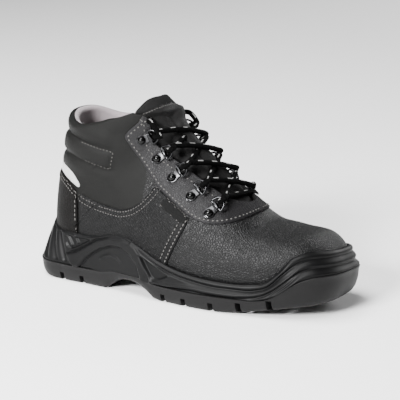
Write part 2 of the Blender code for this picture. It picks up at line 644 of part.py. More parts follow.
def plate_profile():
    """Outline of a strap whose end curls round the ring's bar, as across and out."""
    outer = [(LOOP_AT + LOOP_RADIUS * math.cos(t), LOOP_RADIUS * (1 + math.sin(t)))
             for t in np.radians(np.linspace(-90, LOOP_TURN, LOOP_STEPS))]
    small = LOOP_RADIUS - PLATE_THICK
    inner = [(LOOP_AT + small * math.cos(t), LOOP_RADIUS + small * math.sin(t))
             for t in np.radians(np.linspace(LOOP_TURN, -90, LOOP_STEPS))]
    return [(-PLATE_TAIL, 0.0)] + outer + inner + [(-PLATE_TAIL, PLATE_THICK)]


def mesh_from(name, curve):
    """The mesh of a curve's solid, with its doubled points joined."""
    holder = bpy.data.objects.new(name, curve)
    mesh = bpy.data.meshes.new_from_object(holder)
    bpy.data.objects.remove(holder)
    made = bmesh.new()
    made.from_mesh(mesh)
    bmesh.ops.remove_doubles(made, verts=made.verts, dist=1e-6)
    bmesh.ops.recalc_face_normals(made, faces=made.faces)
    made.to_mesh(mesh)
    made.free()
    return mesh


def drawn(name, path, cyclic, dimensions):
    curve = bpy.data.curves.new(name, "CURVE")
    curve.dimensions = dimensions
    line = curve.splines.new("POLY")
    line.points.add(len(path) - 1)
    for point, place_mm in zip(line.points, path):
        point.co = (*(Vector(place_mm) * MM), 1.0)
    line.use_cyclic_u = cyclic
    return curve


def wire(name, path, radius, cyclic=False):
    """A round wire or cord along a path."""
    curve = drawn(name, path, cyclic, "3D")
    curve.bevel_depth = radius * MM
    curve.bevel_resolution = 1
    curve.use_fill_caps = True
    return mesh_from(name, curve)


def make_plate(name, eyelet, shader):
    curve = drawn(name, [(across, out, 0.0) for across, out in plate_profile()], True, "2D")
    curve.fill_mode = "BOTH"
    curve.extrude = PLATE_HALF * MM
    plate = new_object(name, mesh_from(name, curve), shader)
    plate.matrix_local = eyelet.frame(eyelet.at(0.0, 0.0, PLATE_LIFT), eyelet.across, eyelet.out)


def make_ring(name, eyelet, shader):
    path = [eyelet.ring_at(RING_HALF * math.sin(t), RING_REACH * math.cos(t))
            for t in np.radians(np.linspace(-90, 90, RING_STEPS))]
    new_object(name, wire(name, path, WIRE, cyclic=True), shader)


def make_rivet(name, eyelet, shader):
    mesh = bpy.data.meshes.new(name)
    edges = [(i, i + 1) for i in range(len(RIVET_PROFILE) - 1)]
    mesh.from_pydata([(width * MM, 0.0, rise * MM) for width, rise in RIVET_PROFILE], edges, [])
    rivet = new_object(name, mesh, shader)
    turned = rivet.modifiers.new("turned", "SCREW")
    turned.steps = turned.render_steps = RIVET_SIDES
    turned.use_merge_vertices = True
    turned.merge_threshold = 1e-6
    turned.use_normal_flip = True
    rivet.matrix_local = eyelet.frame(eyelet.at(0.0, 0.0, PLATE_LIFT + PLATE_THICK + GAP), eyelet.across,
                                      np.cross(eyelet.out, eyelet.across))


def lace_path(start, end, weave):
    """A taut run between two eyelets, over or under the one that crosses it."""
    (first, start), (last, end), up = start, end, np.array(LACE_UP)
    shares = np.linspace(0, 1, LACE_STEPS)
    run = [start + (end - start) * f + up * weave * math.sin(math.pi * f) for f in shares]
    return [first] + run + [last]


def make_lacing():
    metal = material("gunmetal", (0.06, 0.06, 0.065), 0.3, 1.0)
    cord = material("lace_cord", (0.02, 0.02, 0.02), 0.8)
    ends = {}
    for side, tag in ((LATERAL, "lateral"), (MEDIAL, "medial")):
        for i, (x, z) in enumerate(RIVETS, 1):
            eyelet = Eyelet(x, z, side)
            make_plate(f"eyelet_plate_{tag}_{i}", eyelet, metal)
            make_ring(f"d_ring_{tag}_{i}", eyelet, metal)
            make_rivet(f"rivet_{tag}_{i}", eyelet, metal)
            for way in (-1, 1):
                reaches = (LACE_REACH, LACE_REACH + LACE_STUB)
                ends[side, i, way] = [eyelet.ring_at(way * LACE_PITCH, far) for far in reaches]
    for i, bow in enumerate(LACE_BOWS[:-1], 1):
        over = lace_path(ends[LATERAL, i, 1], ends[MEDIAL, i + 1, -1], bow + LACE_WEAVE)
        under = lace_path(ends[MEDIAL, i, 1], ends[LATERAL, i + 1, -1], bow - LACE_WEAVE)
        cross = new_object(f"lace_cross_{i}", wire("lace_over", over, LACE_RADIUS), cord)
        other = bpy.data.objects.new("lace_under", wire("lace_under", under, LACE_RADIUS))
        CUTTERS.objects.link(other)
        cut(cross, as_cutter(other), "UNION")
    bottom = len(RIVETS)
    bar = lace_path(ends[LATERAL, bottom, 1], ends[MEDIAL, bottom, 1], LACE_BOWS[-1])
    new_object("lace_bar", wire("lace_bar", bar, LACE_RADIUS), cord)


def centre():
    """Stands the boot on z = 0 with the middle of its footprint at the origin."""
    bpy.context.view_layer.update()
    graph = bpy.context.evaluated_depsgraph_get()
    shown = [obj for obj in PARTS.objects if obj.type == "MESH"]
    corners = [obj.matrix_local @ Vector(c) for obj in shown for c in obj.evaluated_get(graph).bound_box]
    low = Vector([min(c[i] for c in corners) for i in range(3)])
    high = Vector([max(c[i] for c in corners) for i in range(3)])
    BOOT.location = (-(low.x + high.x) / 2, -(low.y + high.y) / 2, -low.z)


for old in list(bpy.data.objects):
    bpy.data.objects.remove(old)
PARTS = bpy.data.collections.new("safety_boot")
CUTTERS = bpy.data.collections.new("cutters")
for group in (PARTS, CUTTERS):
    bpy.context.scene.collection.children.link(group)
BOOT = bpy.data.objects.new("boot", None)
PARTS.objects.link(BOOT)
make_upper()
make_overlays()
make_sole()
make_tongue()
make_lacing()
centre()
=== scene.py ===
"""A black safety ankle boot for the right foot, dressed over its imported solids.

Shape functions work in the part's own millimetres, with the toe towards +X and the outer side towards -Y.
SHIFT moves them into the row frame, and meshes are made in metres.
"""

import math

import bmesh
import bpy
import numpy as np
from mathutils import Matrix, Vector
from mathutils.bvhtree import BVHTree
from mathutils.kdtree import KDTree


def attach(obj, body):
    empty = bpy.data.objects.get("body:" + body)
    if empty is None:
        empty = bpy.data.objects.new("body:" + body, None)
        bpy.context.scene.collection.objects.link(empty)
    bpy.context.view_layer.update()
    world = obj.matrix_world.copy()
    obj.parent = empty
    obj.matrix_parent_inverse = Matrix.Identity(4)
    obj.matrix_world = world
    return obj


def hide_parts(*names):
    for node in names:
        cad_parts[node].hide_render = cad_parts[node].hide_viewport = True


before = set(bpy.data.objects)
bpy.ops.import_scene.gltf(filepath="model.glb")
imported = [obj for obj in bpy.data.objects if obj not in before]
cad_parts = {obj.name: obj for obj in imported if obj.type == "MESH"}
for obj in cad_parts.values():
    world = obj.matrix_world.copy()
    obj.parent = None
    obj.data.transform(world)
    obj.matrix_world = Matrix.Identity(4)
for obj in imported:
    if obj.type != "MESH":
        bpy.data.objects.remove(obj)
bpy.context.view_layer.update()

MM = 0.001
SHIFT = np.array((2.8935, -3.675, 0.0))
LATERAL, MEDIAL = -1, 1
SIDES = ((LATERAL, "lateral"), (MEDIAL, "medial"))
NO_SIDEWAYS = np.array((1.0, 0.0, 1.0))
WELD = 2e-6

# The last, as in the part
SECTION_COLUMNS = ("back_x", "back_z", "front_x", "front_z", "lateral", "medial", "centre",
                   "widest", "low_power", "high_power", "dip")
SECTIONS = (
    (138.5, 27.2, 138.5, 27.6, 11.0, 10.5, 13.5, 0.50, 2.5, 2.2, 0.0),
    (134.5, 26.0, 139.5, 43.5, 21.0, 20.0, 13.5, 0.45, 4.0, 2.4, 0.0),
    (126.0, 25.0, 134.5, 55.5, 34.5, 32.5, 13.0, 0.42, 5.0, 2.4, 0.0),
    (110.5, 23.0, 120.0, 66.0, 43.5, 41.0, 11.5, 0.38, 5.0, 2.5, 0.0),
    (88.0, 20.5, 96.0, 69.0, 48.5, 45.0, 9.0, 0.36, 5.0, 2.5, 0.0),
    (58.0, 18.5, 72.0, 76.0, 51.5, 47.0, 6.0, 0.34, 5.0, 2.2, 0.0),
    (25.0, 19.0, 52.0, 92.0, 51.5, 45.5, 3.0, 0.30, 5.0, 2.0, 0.0),
    (-8.0, 21.5, 34.0, 108.0, 48.0, 43.0, 0.5, 0.28, 5.0, 1.9, 0.0),
    (-40.0, 25.0, 18.0, 121.5, 44.5, 41.0, -0.5, 0.28, 5.0, 1.9, 0.0),
    (-72.0, 28.0, 5.5, 134.0, 41.0, 39.0, 0.0, 0.30, 4.5, 1.9, 0.0),
    (-100.0, 29.5, -4.0, 145.0, 38.0, 37.0, 0.0, 0.32, 5.0, 1.95, 0.0),
    (-122.0, 30.5, -9.5, 152.0, 37.0, 36.5, 0.0, 0.36, 4.4, 2.0, 0.0),
    (-135.5, 42.0, -13.5, 156.0, 37.0, 36.5, 0.0, 0.42, 3.2, 2.1, 0.0),
    (-138.5, 68.0, -16.0, 158.8, 37.5, 37.0, 0.0, 0.48, 2.5, 2.1, 0.0),
    (-134.5, 100.0, -18.0, 161.0, 38.5, 38.0, 0.0, 0.50, 2.3, 2.1, 1.0),
    (-128.0, 130.0, -20.0, 163.2, 39.5, 39.0, 0.0, 0.50, 2.3, 2.1, 5.0),
    (-124.0, 153.0, -22.5, 166.0, 39.5, 39.0, 0.0, 0.50, 2.3, 2.1, 10.0),
    (-119.0, 174.0, -30.5, 177.0, 39.0, 39.0, 0.0, 0.50, 2.3, 2.1, 10.0),
)
# The collar's dip on each side: its scale, power and skew
DIP_SHAPE = {LATERAL: (1.0, 2.0, 1.2), MEDIAL: (1.3, 3.0, 0.8)}
BED_SECTIONS = 10
FLOOR_LIFT, GAP = 1.2, 0.3
COLLAR, THROAT, THROAT_ROUND = 16.0, 5.7, 0.9
THROAT_HALF_LOW, THROAT_HALF_TOP = 20.0, 26.0
CORNER_FROM, CORNER_WIDTH, CORNER_POWER = 14.2, 6.5, 1.5
U_CLEAR, PHI_CLEAR, U_STEP, PHI_STEP = 0.1, 0.02, 0.02, 0.01


def spline(values, at):
    """A smooth curve through values at 0, 1, 2 and so on."""
    values = np.asarray(values, float)
    last = len(values) - 1
    low = np.clip(np.floor(at).astype(int), 0, last - 1)
    f = at - low
    if values.ndim > 1:
        f = f[..., None]
    a, b = values[np.maximum(low - 1, 0)], values[low]
    c, d = values[low + 1], values[np.minimum(low + 2, last)]
    return b + 0.5 * f * (c - a + f * (2 * a - 5 * b + 4 * c - d + f * (3 * (b - c) + d - a)))


def along(table, x):
    """A smooth curve through (x, value) rows that never overshoots them."""
    xs, ys = np.array(table, float).T
    step, slope = np.diff(xs), np.diff(ys) / np.diff(xs)
    inner = np.where(slope[:-1] * slope[1:] > 0,
                     2 * slope[:-1] * slope[1:] / (slope[:-1] + slope[1:] + 1e-12), 0.0)
    tangent = np.concatenate([slope[:1], inner, slope[-1:]])
    x = np.clip(x, xs[0], xs[-1])
    i = np.clip(np.searchsorted(xs, x) - 1, 0, len(xs) - 2)
    f, h = (x - xs[i]) / step[i], step[i]
    rise = ys[i + 1] - ys[i]
    return (ys[i] + f * h * tangent[i] + f * f * (3 * rise - h * (2 * tangent[i] + tangent[i + 1]))
            + f ** 3 * (h * (tangent[i] + tangent[i + 1]) - 2 * rise))


def ease(low, high, value):
    """0 below low, 1 above high, smooth between."""
    f = np.clip((value - low) / (high - low), 0.0, 1.0)
    return f * f * (3 - 2 * f)


def bump(distance, width):
    """1 at no distance, fading over width."""
    return np.exp(-(distance / width) ** 2)


def quarter_round(share):
    """Rises from 0 to 1 as a quarter of a circle."""
    return np.sqrt(1 - (1 - np.clip(share, 0, 1)) ** 2)


def unit(v):
    return v / (np.linalg.norm(v, axis=-1, keepdims=True) + 1e-12)


def section(u):
    return {name: spline(column, np.asarray(u, float))
            for name, column in zip(SECTION_COLUMNS, np.array(SECTIONS).T)}


def half_width(s, side):
    return s["lateral"] if side == LATERAL else s["medial"]


def last_point(u, phi, side):
    """A point of the last: phi turns from 0 at a section's back end to pi at its front end."""
    s = section(u)
    cosine, sine = np.cos(phi), np.sin(phi)
    power = 2 / np.where(cosine > 0, s["low_power"], s["high_power"])
    reach = np.abs(cosine) ** power
    rise = np.where(cosine > 0, s["widest"] * (1 - reach), s["widest"] + (1 - s["widest"]) * reach)
    x = s["back_x"] + rise * (s["front_x"] - s["back_x"])
    y = s["centre"] + side * half_width(s, side) * np.sign(sine) * np.abs(sine) ** power
    z = s["back_z"] + rise * (s["front_z"] - s["back_z"])
    dip_scale, dip_power, dip_skew = DIP_SHAPE[side]
    dip = s["dip"] * dip_scale * np.abs(sine) ** dip_power * (1 + dip_skew * cosine)
    return np.stack([x, y, z - dip], -1)


def last_normal(u, phi, side):
    u = np.clip(u, U_CLEAR, len(SECTIONS) - 1 - U_CLEAR)
    phi = np.clip(phi, PHI_CLEAR, math.pi - PHI_CLEAR)
    down = last_point(u + U_STEP, phi, side) - last_point(u - U_STEP, phi, side)
    across = last_point(u, phi + PHI_STEP, side) - last_point(u, phi - PHI_STEP, side)
    return unit(np.cross(down, across) * side)


def bed(x):
    """Height of the last's underside."""
    s = section(np.linspace(1, BED_SECTIONS, 100))
    return np.interp(x, s["back_x"][::-1], s["back_z"][::-1])


def feather_angle(u, side):
    """Where a section meets the sole's floor: its wall starts there."""
    low, high = np.zeros_like(u), np.full_like(u, math.pi / 2)
    for _ in range(30):
        middle = (low + high) / 2
        p = last_point(u, middle, side)
        under = p[..., 2] < bed(p[..., 0]) + FLOOR_LIFT + GAP
        low, high = np.where(under, middle, low), np.where(under, high, middle)
    return np.where(high < 1e-6, 0.0, high)


def throat_angle(u, side):
    """Where a section stops at the throat's edge, or pi over the vamp."""
    s = section(u)
    up = np.clip((u - THROAT) / (COLLAR - THROAT), 0, 1)
    gap = THROAT_HALF_LOW + (THROAT_HALF_TOP - THROAT_HALF_LOW) * up
    corner = np.clip((u - CORNER_FROM) / (COLLAR - CORNER_FROM), 0, 1)
    gap = gap * quarter_round((u - THROAT) / THROAT_ROUND) + CORNER_WIDTH * corner ** CORNER_POWER
    return math.pi - np.arcsin((gap / np.maximum(half_width(s, side), gap + 1e-9)) ** (s["high_power"] / 2))


def even_rows(*spans):
    """Sections at even steps over spans, each with its start, end and count."""
    return np.unique(np.concatenate([np.linspace(*span) for span in spans]))


class Skin:
    """One side of the upper as a grid of sections and turns, with its points and outward normals."""

    def __init__(self, rows, columns, side):
        low, high = feather_angle(rows, side), throat_angle(rows, side)
        share = np.linspace(0, 1, columns)
        phi = low[:, None] + (math.pi - low)[:, None] * share - (math.pi - high)[:, None] * share ** 3
        u = np.broadcast_to(rows[:, None], phi.shape)
        self.side, self.shape = side, phi.shape
        self.point, self.normal = last_point(u, phi, side), last_normal(u, phi, side)
        for column, turn, closed in ((0, 0.0, low == 0), (-1, math.pi, high >= math.pi - 1e-9)):
            middle = unit(last_normal(rows, np.full(len(rows), turn), LATERAL) * NO_SIDEWAYS)
            self.normal[closed, column] = middle[closed]


# Meshes


def grid_faces(rows, columns, flip=False, start=0):
    index = start + np.arange(rows * columns).reshape(rows, columns)
    faces = np.stack([index[:-1, :-1], index[:-1, 1:], index[1:, 1:], index[1:, :-1]], -1).reshape(-1, 4)
    return faces[:, ::-1] if flip else faces


def loop_faces(rings, count, start=0, flip=False):
    """Faces between closed rings of points in a row."""
    index = start + np.arange(rings * count).reshape(rings, count)
    right = np.roll(index, -1, 1)
    faces = np.stack([index[:-1], right[:-1], right[1:], index[1:]], -1).reshape(-1, 4)
    return faces[:, (0, 3, 2, 1)] if flip else faces


def capped_faces(rings, count):
    """Faces between closed rings of points in a row, with a cap at each end."""
    first, last = np.arange(rings * count).reshape(rings, count)[[0, -1]]
    return [*loop_faces(rings, count).tolist(), first[::-1].tolist(), last.tolist()]


def change_mesh(mesh, change):
    """Edits a mesh in place by a function of its bmesh."""
    made = bmesh.new()
    made.from_mesh(mesh)
    change(made)
    made.to_mesh(mesh)
    made.free()


def weld(made):
    bmesh.ops.remove_doubles(made, verts=made.verts, dist=WELD)


def face_out(made):
    bmesh.ops.recalc_face_normals(made, faces=made.faces)


def link(name, mesh, materials):
    obj = bpy.data.objects.new(name, mesh)
    for material in materials:
        mesh.materials.append(material)
    bpy.context.scene.collection.objects.link(obj)
    return obj


def piece(name, points, faces, materials, slots=None, merge=True, nodes=()):
    """A smooth mesh from millimetre points, riding on the boot and standing for the nodes it replaces."""
    mesh = bpy.data.meshes.new(name)
    corners = [tuple(int(i) for i in face) for face in faces]
    mesh.from_pydata(((np.asarray(points) + SHIFT) * MM).tolist(), [], corners)
    if slots is not None:
        mesh.polygons.foreach_set("material_index", np.asarray(slots, np.int32))
    if merge:
        change_mesh(mesh, weld)
    mesh.validate()
    mesh.shade_smooth()
    obj = link(name, mesh, materials)
    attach(obj, "root")
    if nodes:
        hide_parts(*nodes)
    return obj


class Heap:
    """Collects small shapes into one mesh."""

    SHARP = math.radians(48)

    def __init__(self):
        self.points, self.faces, self.slots, self.count = [], [], [], 0

    def add(self, points, faces, slots=None):
        self.faces += [[self.count + i for i in face] for face in faces]
        self.slots += slots or [0] * len(faces)
        self.points.append(np.asarray(points))
        self.count += len(points)

    def make(self, name, materials, nodes, finish):
        obj = piece(name, np.concatenate(self.points), self.faces, materials, self.slots,
                    nodes=nodes)
        change_mesh(obj.data, face_out)
        obj.data.shade_smooth()
        obj.data.set_sharp_from_angle(angle=self.SHARP)


def kd_tree(points):
    tree = KDTree(len(points))
    for i, point in enumerate(points):
        tree.insert(point, i)
    tree.balance()
    return tree


def tree_of(obj):
    """The surface of a piece, in the part's millimetres."""
    points = [v.co / MM - Vector(SHIFT) for v in obj.data.vertices]
    return BVHTree.FromPolygons(points, [list(p.vertices) for p in obj.data.polygons])


# Materials

# Colour of the painted shade low inside the lining
LINING_PAINTED_SHADE = (0.02, 0.018, 0.018)
PORE_WIDTH, LEATHER_DRIFT, RUBBER_GRAIN, RUBBER_DRIFT, WEAR = 0.22, 18.0, 900.0, 30.0, 260.0
# Rubber's gloss, and the share of leather gloss left where shade is painted
RUBBER_GLOSS, PAINTED_SHADE_GLOSS_SHARE = 0.1, 0.2


def shader(name, colour, roughness, metallic=0.0, **extra):
    made = bpy.data.materials.new(name)
    made.use_nodes = True
    base = made.node_tree.nodes["Principled BSDF"]
    base.inputs["Base Color"].default_value = (*colour, 1.0)
    base.inputs["Roughness"].default_value = roughness
    base.inputs["Metallic"].default_value = metallic
    for socket, value in extra.items():
        base.inputs[socket.replace("_", " ")].default_value = value
    return made, made.node_tree, base


def node(tree, kind, **values):
    made = tree.nodes.new(kind)
    for name, value in values.items():
        if name in made.inputs:
            made.inputs[name].default_value = value
        else:
            setattr(made, name, value)
    return made


def texture(tree, kind, scale, **values):
    made = node(tree, kind, Scale=scale, **values)
    tree.links.new(node(tree, "ShaderNodeTexCoord").outputs["Object"], made.inputs["Vector"])
    return made


def noise(tree, scale, detail):
    return texture(tree, "ShaderNodeTexNoise", scale, Detail=detail).outputs["Fac"]


def coordinate(tree, axis):
    split = node(tree, "ShaderNodeSeparateXYZ")
    tree.links.new(node(tree, "ShaderNodeTexCoord").outputs["Object"], split.inputs["Vector"])
    return split.outputs[axis]


def ramp(tree, source, low, high, first=0.0, last=1.0):
    limits = {"From Min": low, "From Max": high, "To Min": first, "To Max": last}
    made = node(tree, "ShaderNodeMapRange", **limits)
    tree.links.new(source, made.inputs["Value"])
    return made.outputs["Result"]


def add_bumps(tree, base, *heights):
    """Stacks bump nodes, each a height with its strength and depth."""
    normal = None
    for height, strength, depth in heights:
        made = node(tree, "ShaderNodeBump", Strength=strength, Distance=depth)
        tree.links.new(height, made.inputs["Height"])
        if normal:
            tree.links.new(normal, made.inputs["Normal"])
        normal = made.outputs["Normal"]
    tree.links.new(normal, base.inputs["Normal"])


def tint(tree, base, factor, dark, light):
    """Colours a material between dark and light, where light is a colour or a socket."""
    mix = node(tree, "ShaderNodeMix", data_type="RGBA")
    tree.links.new(factor, mix.inputs["Factor"])
    sockets = {socket.identifier: socket for socket in mix.inputs}
    sockets["A_Color"].default_value = (*dark, 1.0)
    if isinstance(light, tuple):
        sockets["B_Color"].default_value = (*light, 1.0)
    else:
        tree.links.new(light, sockets["B_Color"])
    colour = next(socket for socket in mix.outputs if socket.type == "RGBA")
    tree.links.new(colour, base.inputs["Base Color"])
    return colour


def vary_roughness(tree, base, source, low, high):
    tree.links.new(ramp(tree, source, 0.3, 0.7, low, high), base.inputs["Roughness"])


def leather(name, dark, light, roughness, pebble, depth, gloss, painted_shade_x=None):
    """Grained leather: pebbles, pores between them, a slow random drift of tone, and painted shade as less
    gloss over a given range of x.
    """
    made, tree, base = shader(name, dark, roughness, Specular_IOR_Level=gloss)
    cells = texture(tree, "ShaderNodeTexVoronoi", pebble, feature="DISTANCE_TO_EDGE")
    pores = ramp(tree, cells.outputs["Distance"], 0.0, PORE_WIDTH)
    drift = noise(tree, LEATHER_DRIFT, 2.0)
    add_bumps(tree, base, (pores, 0.75, depth), (noise(tree, pebble * 3.0, 3.0), 0.35, depth * 0.5))
    tint(tree, base, drift, dark, light)
    vary_roughness(tree, base, drift, roughness - 0.05, roughness + 0.06)
    # Painted shade: gloss falls to a share of itself over the given range of x
    if painted_shade_x:
        painted_shade_gloss = ramp(tree, coordinate(tree, "X"), *painted_shade_x, gloss, gloss * PAINTED_SHADE_GLOSS_SHARE)
        tree.links.new(painted_shade_gloss, base.inputs["Specular IOR Level"])
    return made


def rubber(name, dark, light, roughness):
    made, tree, base = shader(name, dark, roughness, Specular_IOR_Level=RUBBER_GLOSS)
    drift = noise(tree, RUBBER_DRIFT, 3.0)
    add_bumps(tree, base, (noise(tree, RUBBER_GRAIN, 3.0), 0.35, 0.00012))
    tint(tree, base, drift, dark, light)
    vary_roughness(tree, base, drift, roughness - 0.06, roughness + 0.08)
    return made


def cloth(name, dark, light, roughness, thread, depth=0.0003, sheen=0.2, gloss=0.15, painted_shade_heights=None):
    """Woven cloth: two crossed waves of thread with a little fuzz, and painted shade below a given range of
    heights.
    """
    made, tree, base = shader(name, dark, roughness, Sheen_Weight=sheen, Specular_IOR_Level=gloss)
    weave = node(tree, "ShaderNodeMath", operation="MULTIPLY")
    for i, axis in enumerate("XZ"):
        wave = texture(tree, "ShaderNodeTexWave", thread, bands_direction=axis, Distortion=1.2, Detail=1.0)
        tree.links.new(wave.outputs["Fac"], weave.inputs[i])
    fuzz = noise(tree, thread * 2.0, 2.0)
    add_bumps(tree, base, (weave.outputs[0], 0.6, depth), (fuzz, 0.3, depth))
    colour = tint(tree, base, fuzz, dark, light)
    # Painted shade: below the given heights the colour darkens to a near black
    if painted_shade_heights:
        tint(tree, base, ramp(tree, coordinate(tree, "Z"), *painted_shade_heights), LINING_PAINTED_SHADE, colour)
    return made


def metal(name, colour, roughness):
    made, tree, base = shader(name, colour, roughness, 1.0)
    wear = noise(tree, WEAR, 4.0)
    vary_roughness(tree, base, wear, roughness * 0.7, roughness * 1.4)
    add_bumps(tree, base, (wear, 0.12, 0.0002))
    return made


def enamel(name, colour, roughness, gloss):
    made, tree, base = shader(name, colour, roughness, Specular_IOR_Level=gloss)
    vary_roughness(tree, base, noise(tree, WEAR, 3.0), roughness * 0.8, roughness * 1.3)
    return made


PEBBLED = leather("pebbled_leather", (0.0014, 0.0014, 0.0015), (0.0028, 0.0028, 0.0029),
                  0.48, 500.0, 0.0003, 0.105)
VAMP = leather("vamp_leather", (0.0012, 0.0012, 0.0013), (0.0026, 0.0026, 0.0027),
               0.45, 500.0, 0.00032, 0.175)
BACKSTAY = leather("counter_leather", (0.002, 0.0018, 0.0017), (0.0034, 0.0031, 0.0029),
                   0.52, 480.0, 0.0003, 0.055)
# The facing leather is coloured lighter than the other black leathers as painted highlight, and its gloss
# falls towards the toe as painted shade
FACING_PAINTED_LIGHT = leather("facing_leather_painted_light", (0.008, 0.0077, 0.0082), (0.012, 0.0117, 0.0123),
                 0.46, 580.0, 0.00032, 0.14, painted_shade_x=(0.036, 0.056))
SMOOTH = leather("collar_leather", (0.0024, 0.0024, 0.0022), (0.004, 0.004, 0.0037), 0.5, 1500.0, 0.0001, 0.1)
# The tongue leather has painted shade: its gloss falls towards its lower, forward end
TONGUE_LEATHER = leather("tongue_leather", (0.0052, 0.0051, 0.0051), (0.0078, 0.0076, 0.0076),
                         0.55, 1300.0, 0.0001, 0.15, painted_shade_x=(-0.035, 0.03))
RUBBER = rubber("sole_rubber_skin", (0.0018, 0.0018, 0.0019), (0.003, 0.003, 0.0031), 0.46)
TREAD = rubber("tread_rubber_skin", (0.0048, 0.0047, 0.0048), (0.0072, 0.007, 0.0071), 0.48)
# The lining has painted shade low inside the boot, below 126 to 142 mm up
LINING = cloth("lining_cloth", (0.19, 0.165, 0.172), (0.26, 0.228, 0.238), 0.9, 900.0, painted_shade_heights=(0.126, 0.142))
FELT = cloth("insole_cloth", (0.05, 0.05, 0.05), (0.09, 0.09, 0.09), 0.95, 700.0)
TONGUE_CLOTH = cloth("tongue_cloth", (0.006, 0.006, 0.006), (0.011, 0.011, 0.011), 0.85, 1100.0,
                     sheen=0.0, gloss=0.06)
REFLECT = cloth("reflective_cloth", (0.36, 0.36, 0.355), (0.42, 0.42, 0.415), 0.35, 2200.0, 0.00006)
TAG = cloth("tag_cloth", (0.0008, 0.0008, 0.0008), (0.002, 0.002, 0.002), 0.8, 1600.0, sheen=0.0)
THREAD = cloth("thread", (0.055, 0.053, 0.05), (0.1, 0.097, 0.092), 0.7, 3000.0, 0.0001, 0.0)
DARK_THREAD = cloth("dark_thread", (0.024, 0.022, 0.02), (0.05, 0.047, 0.044), 0.7, 3000.0, 0.0001)
CORD = cloth("lace_cord_weave", (0.0006, 0.0006, 0.0006), (0.0014, 0.0014, 0.0014), 0.75, 1400.0,
             sheen=0.0, gloss=0.03)
FLECK = cloth("lace_fleck", (0.12, 0.12, 0.117), (0.22, 0.22, 0.215), 0.7, 1400.0, sheen=0.0)
GUNMETAL = metal("gunmetal_polish", (0.022, 0.022, 0.023), 0.22)
# Lighter metal for the strap's band, partly bare metal and partly painted highlight
PLATE_WITH_PAINTED_HIGHLIGHT = metal("plate_metal_painted_highlight", (0.05, 0.05, 0.052), 0.36)
BALL = enamel("rivet_polish", (0.0012, 0.0012, 0.0012), 0.1, 0.16)


# Upper

WALL, COLLAR_WALL = 2.6, 8.5
PADDING_RISE, PADDING_END = (112.0, 138.0), (-68.0, -52.0)
SKIN_ROWS = even_rows((0, 1, 9), (1, THROAT, 56), (THROAT, THROAT + 1, 18), (THROAT + 1, COLLAR, 120))
SKIN_COLUMNS = 72
VAMP_BACK = -30.0
RIM_STEPS, RIM_BULGE = 11, 0.75

# The padded roll round the collar's back: its upper and lower crease, and where it ends towards the throat
CREASE_HIGH = ((-132, 139), (-116, 137), (-100, 134), (-87, 131.2), (-60, 126))
CREASE_LOW = ((-136, 121), (-112, 119), (-90, 114), (-64, 109))
CREASE_DEPTH, CREASE_WIDTH = 1.5, 1.6
ROLL_END, ROLL_RISE = (-70.0, -59.0), 2.6
# Softer rolls above the upper and below the lower crease: rise, distance and width
ROLL_ABOVE, ROLL_BELOW = (1.8, 9.5, 6.5), (1.3, -8.0, 6.0)
# The flex hollow behind the toe, and spots where the leather is slack, as rise, x, z and width
FLEX_AT, FLEX_LEAN, FLEX_WIDTH, FLEX_FROM = (78.0, 60.0), 0.25, 9.0, (40, 56)
SLACK = ((1.2, -58.0, 128.0, 13.0), (1.4, -56.0, 97.0, 17.0))


def padding(point):
    """Share of the collar's padding at a point."""
    return ease(*PADDING_RISE, point[..., 2]) * (1 - ease(*PADDING_END, point[..., 0]))


def puff(point):
    """How far the leather swells out or sinks in."""
    x, z = point[..., 0], point[..., 2]
    high, low = along(CREASE_HIGH, x), along(CREASE_LOW, x)
    found = ROLL_RISE * np.sqrt(np.clip(1 - ((z - (high + low) / 2) / ((high - low) / 2)) ** 2, 0, 1))
    found -= CREASE_DEPTH * (bump(z - high, CREASE_WIDTH) + bump(z - low, CREASE_WIDTH))
    for crease, (rise, above, width) in ((high, ROLL_ABOVE), (low, ROLL_BELOW)):
        found += rise * bump(z - crease - above, width)
    found *= 1 - ease(*ROLL_END, x)
    found -= bump(x - FLEX_AT[0] + FLEX_LEAN * (z - FLEX_AT[1]), FLEX_WIDTH) * ease(*FLEX_FROM, z)
    for rise, at_x, at_z, width in SLACK:
        found += rise * bump(np.hypot(x - at_x, z - at_z), width)
    return found


def make_upper():
    """The leather body and its lining, joined by a rounded edge round the throat and the collar."""
    skins = [Skin(SKIN_ROWS, SKIN_COLUMNS, side) for side, _ in SIDES]
    faces, slots, start = [], [], 0
    for skin in skins:
        skin.outer = skin.point + puff(skin.point)[..., None] * skin.normal
        thick = WALL + (COLLAR_WALL - WALL) * padding(skin.point)
        skin.lined = skin.point - thick[..., None] * skin.normal
        found = grid_faces(*skin.shape, skin.side == MEDIAL)
        middle = skin.outer.reshape(-1, 3)[found].mean(1)
        slots.append(np.where(middle[:, 0] > VAMP_BACK, 0, 1))
        faces.append(found + start)
        start += skin.shape[0] * skin.shape[1]
    rings = rim_rings(*(rim_path(skins, name) for name in ("outer", "lined", "normal")))
    count = len(rings[0])
    throat = 2 * int((SKIN_ROWS >= THROAT).sum()) - 1
    rim = loop_faces(len(rings), count, start, flip=True)
    index = np.arange(len(rim))
    in_leather = (index // count < len(rings) // 2) | (index % count < throat - 1)
    slots = np.concatenate(slots + [np.ones(in_leather.sum(), int)])
    points = np.concatenate([skin.outer.reshape(-1, 3) for skin in skins] + rings)
    leather_faces = np.concatenate(faces + [rim[in_leather]])
    piece("upper_leather", points, leather_faces, [VAMP, SMOOTH], slots, nodes=["upper"])
    points = np.concatenate([skin.lined.reshape(-1, 3) for skin in skins] + rings)
    lining_faces = np.concatenate([f[:, ::-1] for f in faces] + [rim[~in_leather]])
    piece("lining", points, lining_faces, [LINING])


